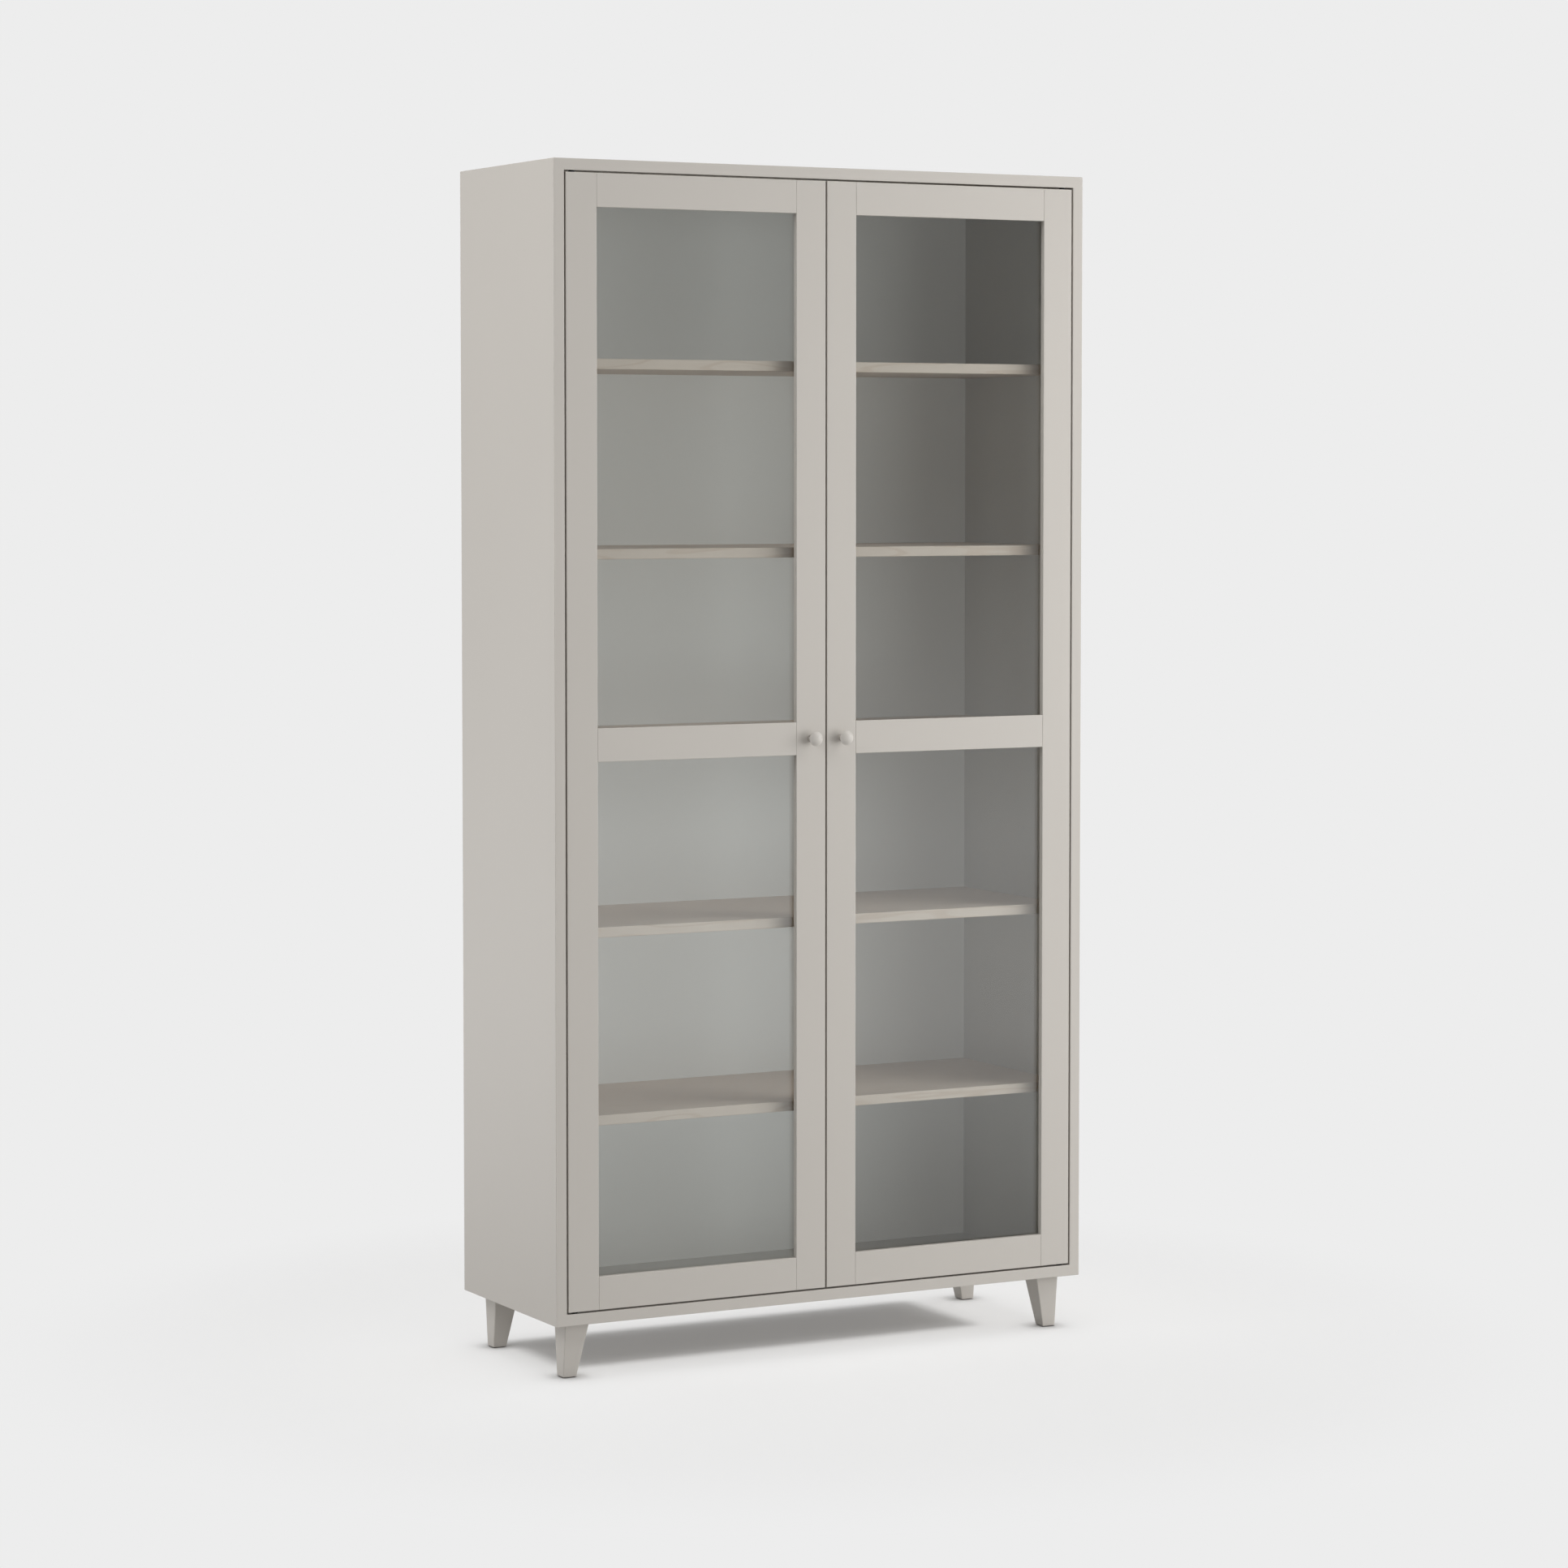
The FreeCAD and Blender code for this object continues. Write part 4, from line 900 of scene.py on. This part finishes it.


# ---------------------------------------------------------------- floor, backdrop and lamps
# The bookcase stands on a pale seamless studio floor under soft lamps. Cameras and glass see
# the floor and the backdrop as one even grey. In a mirror, the floor glows with a wide painted
# pool of light, brightest from about 5 to 10 m away, and the backdrop is dim.

BACKGROUND = "#EDEDED"
FLOOR_PAINT = "#EBEBEB"
FLOOR_BOUNCE = "#C8C8C8"
FLOOR_SIZE = 1300
FADE_START = 0.8
FADE_END = 1.4
POOL_START = 0.5
POOL_FULL = 4.5
POOL_END = 10.6
POOL = 2.4
MIRRORED = 0.75
AMBIENT = 0.2

mesh = bpy.data.meshes.new("floor")
half = FLOOR_SIZE / 2
mesh.from_pydata([(-half, -half, 0), (half, -half, 0), (half, half, 0), (-half, half, 0)], [],
                 [(0, 1, 2, 3)])
floor = bpy.data.objects.new("floor", mesh)
bpy.context.scene.collection.objects.link(floor)


def seen_rays(tree):
    """1 for rays from the camera, a mirror or glass, 0 for rays that carry light, and 1 for
    rays from a mirror alone."""
    path = add(tree, "ShaderNodeLightPath")
    most = add(tree, "ShaderNodeMath",
               {0: path.outputs["Is Camera Ray"], 1: path.outputs["Is Glossy Ray"]},
               operation="MAXIMUM")
    seen = add(tree, "ShaderNodeMath",
               {0: most.outputs[0], 1: path.outputs["Is Transmission Ray"]},
               operation="MAXIMUM")
    return seen.outputs[0], path.outputs["Is Glossy Ray"]


material, tree = empty_material("studio_floor")
place = add(tree, "ShaderNodeTexCoord").outputs["Object"]
distance = add(tree, "ShaderNodeVectorMath", {0: place}, operation="LENGTH")
far = add(tree, "ShaderNodeMapRange",
          {"Value": distance.outputs["Value"], "From Min": FADE_START, "From Max": FADE_END},
          interpolation_type="SMOOTHSTEP")
seen, mirrored = seen_rays(tree)
share = add(tree, "ShaderNodeMath", {0: far.outputs["Result"], 1: seen}, operation="MULTIPLY")
# In a mirror the floor's glow is a painted pool of light: up to 2.4 times the backdrop, fading far
# away.
nearness = add(tree, "ShaderNodeMath", {0: 1.0, 1: distance.outputs["Value"]}, operation="DIVIDE")
outer = add(tree, "ShaderNodeMapRange",
            {"Value": nearness.outputs[0], "From Max": 1 / POOL_END, "To Min": MIRRORED,
             "To Max": POOL})
inner = add(tree, "ShaderNodeMapRange",
            {"Value": distance.outputs["Value"], "From Min": POOL_START, "From Max": POOL_FULL,
             "To Min": 1 / POOL, "To Max": 1.0})
painted_pool = add(tree, "ShaderNodeMath", {0: outer.outputs["Result"], 1: inner.outputs["Result"]},
           operation="MULTIPLY")
strength = add(tree, "ShaderNodeMapRange",
               {"Value": mirrored, "To Min": 1.0, "To Max": painted_pool.outputs[0]})
shade = add(tree, "ShaderNodeMix",
            {"Factor": seen, "A": linear(FLOOR_BOUNCE), "B": linear(FLOOR_PAINT)},
            data_type="RGBA")
paint = add(tree, "ShaderNodeBsdfDiffuse", {"Color": shade.outputs["Result"]})
glow = add(tree, "ShaderNodeEmission",
           {"Color": linear(BACKGROUND), "Strength": strength.outputs["Result"]})
show(tree, add(tree, "ShaderNodeMixShader",
               {0: share.outputs[0], 1: paint.outputs[0], 2: glow.outputs[0]}))
floor.data.materials.append(material)

world = bpy.data.worlds.new("studio")
bpy.context.scene.world = world
world.use_nodes = True
tree = world.node_tree
tree.nodes.clear()
seen, mirrored = seen_rays(tree)
shown = add(tree, "ShaderNodeMapRange", {"Value": seen, "To Min": AMBIENT, "To Max": 1.0})
strength = add(tree, "ShaderNodeMapRange",
               {"Value": mirrored, "To Min": shown.outputs["Result"], "To Max": MIRRORED})
colour = add(tree, "ShaderNodeBackground",
             {"Color": linear(BACKGROUND), "Strength": strength.outputs["Result"]})
add(tree, "ShaderNodeOutputWorld", {"Surface": colour.outputs[0]})

not_on_floor = bpy.data.collections.new("not_on_floor")
not_on_floor.objects.link(floor)
not_on_floor.collection_objects[0].light_linking.link_state = "EXCLUDE"
floor_only = bpy.data.collections.new("floor_only")
floor_only.objects.link(floor)
back_only = bpy.data.collections.new("back_only")
back_only.objects.link(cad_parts["back_panel"])

# A flag inside the bottom board shapes the shadow of the floor lamps: it is a little smaller
# than the bookcase, as if light came in under all four of its sides.
FLAG_X = (-0.424, 0.351)
FLAG_Y = (-0.069, 0.177)
FLAG_RISE = 0.01

low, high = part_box("bottom_panel")
height = low.z + FLAG_RISE
mesh = bpy.data.meshes.new("flag")
mesh.from_pydata([(x, y, height) for x, y in ((FLAG_X[0], FLAG_Y[0]), (FLAG_X[1], FLAG_Y[0]),
                                              (FLAG_X[1], FLAG_Y[1]), (FLAG_X[0], FLAG_Y[1]))],
                 [], [(0, 1, 2, 3)])
flag = bpy.data.objects.new("flag", mesh)
bpy.context.scene.collection.objects.link(flag)
flags = bpy.data.collections.new("flags")
flags.objects.link(flag)
legs_only = bpy.data.collections.new("legs_only")
for name in ("front_left_leg", "front_right_leg", "back_left_leg", "back_right_leg"):
    flags.objects.link(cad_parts[name])
    legs_only.objects.link(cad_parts[name])


def softbox(name, azimuth, elevation, distance, width, height, power, aim, lights, shades=None,
            mirrored=True):
    """A lamp that faces the aim from an azimuth (0 is the front, 90 the right). It lights one
    collection, and only what is in the other one shades it. One that would stand in the panes
    as a bright square isn't mirrored, as behind a polarising filter."""
    lamp = bpy.data.lights.new(name, "AREA")
    lamp.shape = "RECTANGLE"
    lamp.size = width
    lamp.size_y = height
    lamp.energy = power
    holder = bpy.data.objects.new(name, lamp)
    turn = math.radians(azimuth)
    rise = math.radians(elevation)
    back = Vector((math.sin(turn) * math.cos(rise), -math.cos(turn) * math.cos(rise),
                   math.sin(rise)))
    holder.location = Vector(aim) + back * distance
    holder.rotation_euler = back.to_track_quat("Z", "Y").to_euler()
    bpy.context.scene.collection.objects.link(holder)
    holder.visible_glossy = mirrored
    holder.light_linking.receiver_collection = lights
    if shades:
        holder.light_linking.blocker_collection = shades
    return holder


# The back wash lights the back panel alone, and nothing but the floor shades it, so that the
# panel stays even from shelf to shelf. The last three lamps light the floor alone.
MIDDLE = (0, 0, 1.05)
FOOT = (0, 0, 0)
softbox("front", 20, 0, 4.2, 1.6, 2.2, 28, MIDDLE, not_on_floor, mirrored=False)
softbox("key", 40, 0, 4.2, 1.6, 2.2, 40, MIDDLE, not_on_floor, mirrored=False)
softbox("side_key", 62, 5, 4.2, 1.2, 2.2, 40, MIDDLE, not_on_floor)
softbox("small_key", 60, 13, 3.0, 0.5, 0.8, 8, MIDDLE, not_on_floor)
softbox("high_key", 45, 40, 4.2, 1.6, 2.2, 39, MIDDLE, not_on_floor)
softbox("left_fill", -80, 35, 3.8, 1.8, 2.0, 63, MIDDLE, not_on_floor)
softbox("low_left_fill", -100, 5, 3.8, 1.8, 2.0, 24, MIDDLE, not_on_floor, mirrored=False)
softbox("back_wash", -60, 0, 2.5, 1.0, 1.6, 24, MIDDLE, back_only, floor_only, mirrored=False)
softbox("rear_fill", 170, 10, 4.2, 2.0, 2.0, 35, MIDDLE, not_on_floor)
softbox("overhead", 0, 89, 4.0, 3.0, 2.4, 20, FOOT, not_on_floor)
softbox("floor_lamp", 0, 89, 6.0, 7.0, 7.0, 170, FOOT, floor_only, flags)
softbox("small_floor_lamp", 0, 89, 6.0, 2.2, 2.2, 124, FOOT, floor_only, flags)
softbox("floor_wash", 0, 89, 4.0, 3.0, 2.4, 35, FOOT, floor_only, legs_only)


# ---------------------------------------------------------------- camera
# A long lens from the front left, at the height of the eyes. It looks down by a small angle
# and is shifted down as well, so that uprights stay nearly upright.

CAMERA_PLACE = (-3.4671, -6.5507, 1.4836)
CAMERA_TURN = 27.975
CAMERA_TILT = 3.056
CAMERA_LENS = 99.81
CAMERA_SENSOR = 36.0
CAMERA_SHIFT = -0.05

lens = bpy.data.cameras.new("camera")
lens.lens = CAMERA_LENS
lens.sensor_width = CAMERA_SENSOR
lens.shift_y = CAMERA_SHIFT
camera = bpy.data.objects.new("camera", lens)
camera.location = CAMERA_PLACE
camera.rotation_euler = (math.radians(90 - CAMERA_TILT), 0, -math.radians(CAMERA_TURN))
bpy.context.scene.collection.objects.link(camera)
bpy.context.scene.camera = camera
bpy.context.scene.view_settings.view_transform = "Standard"
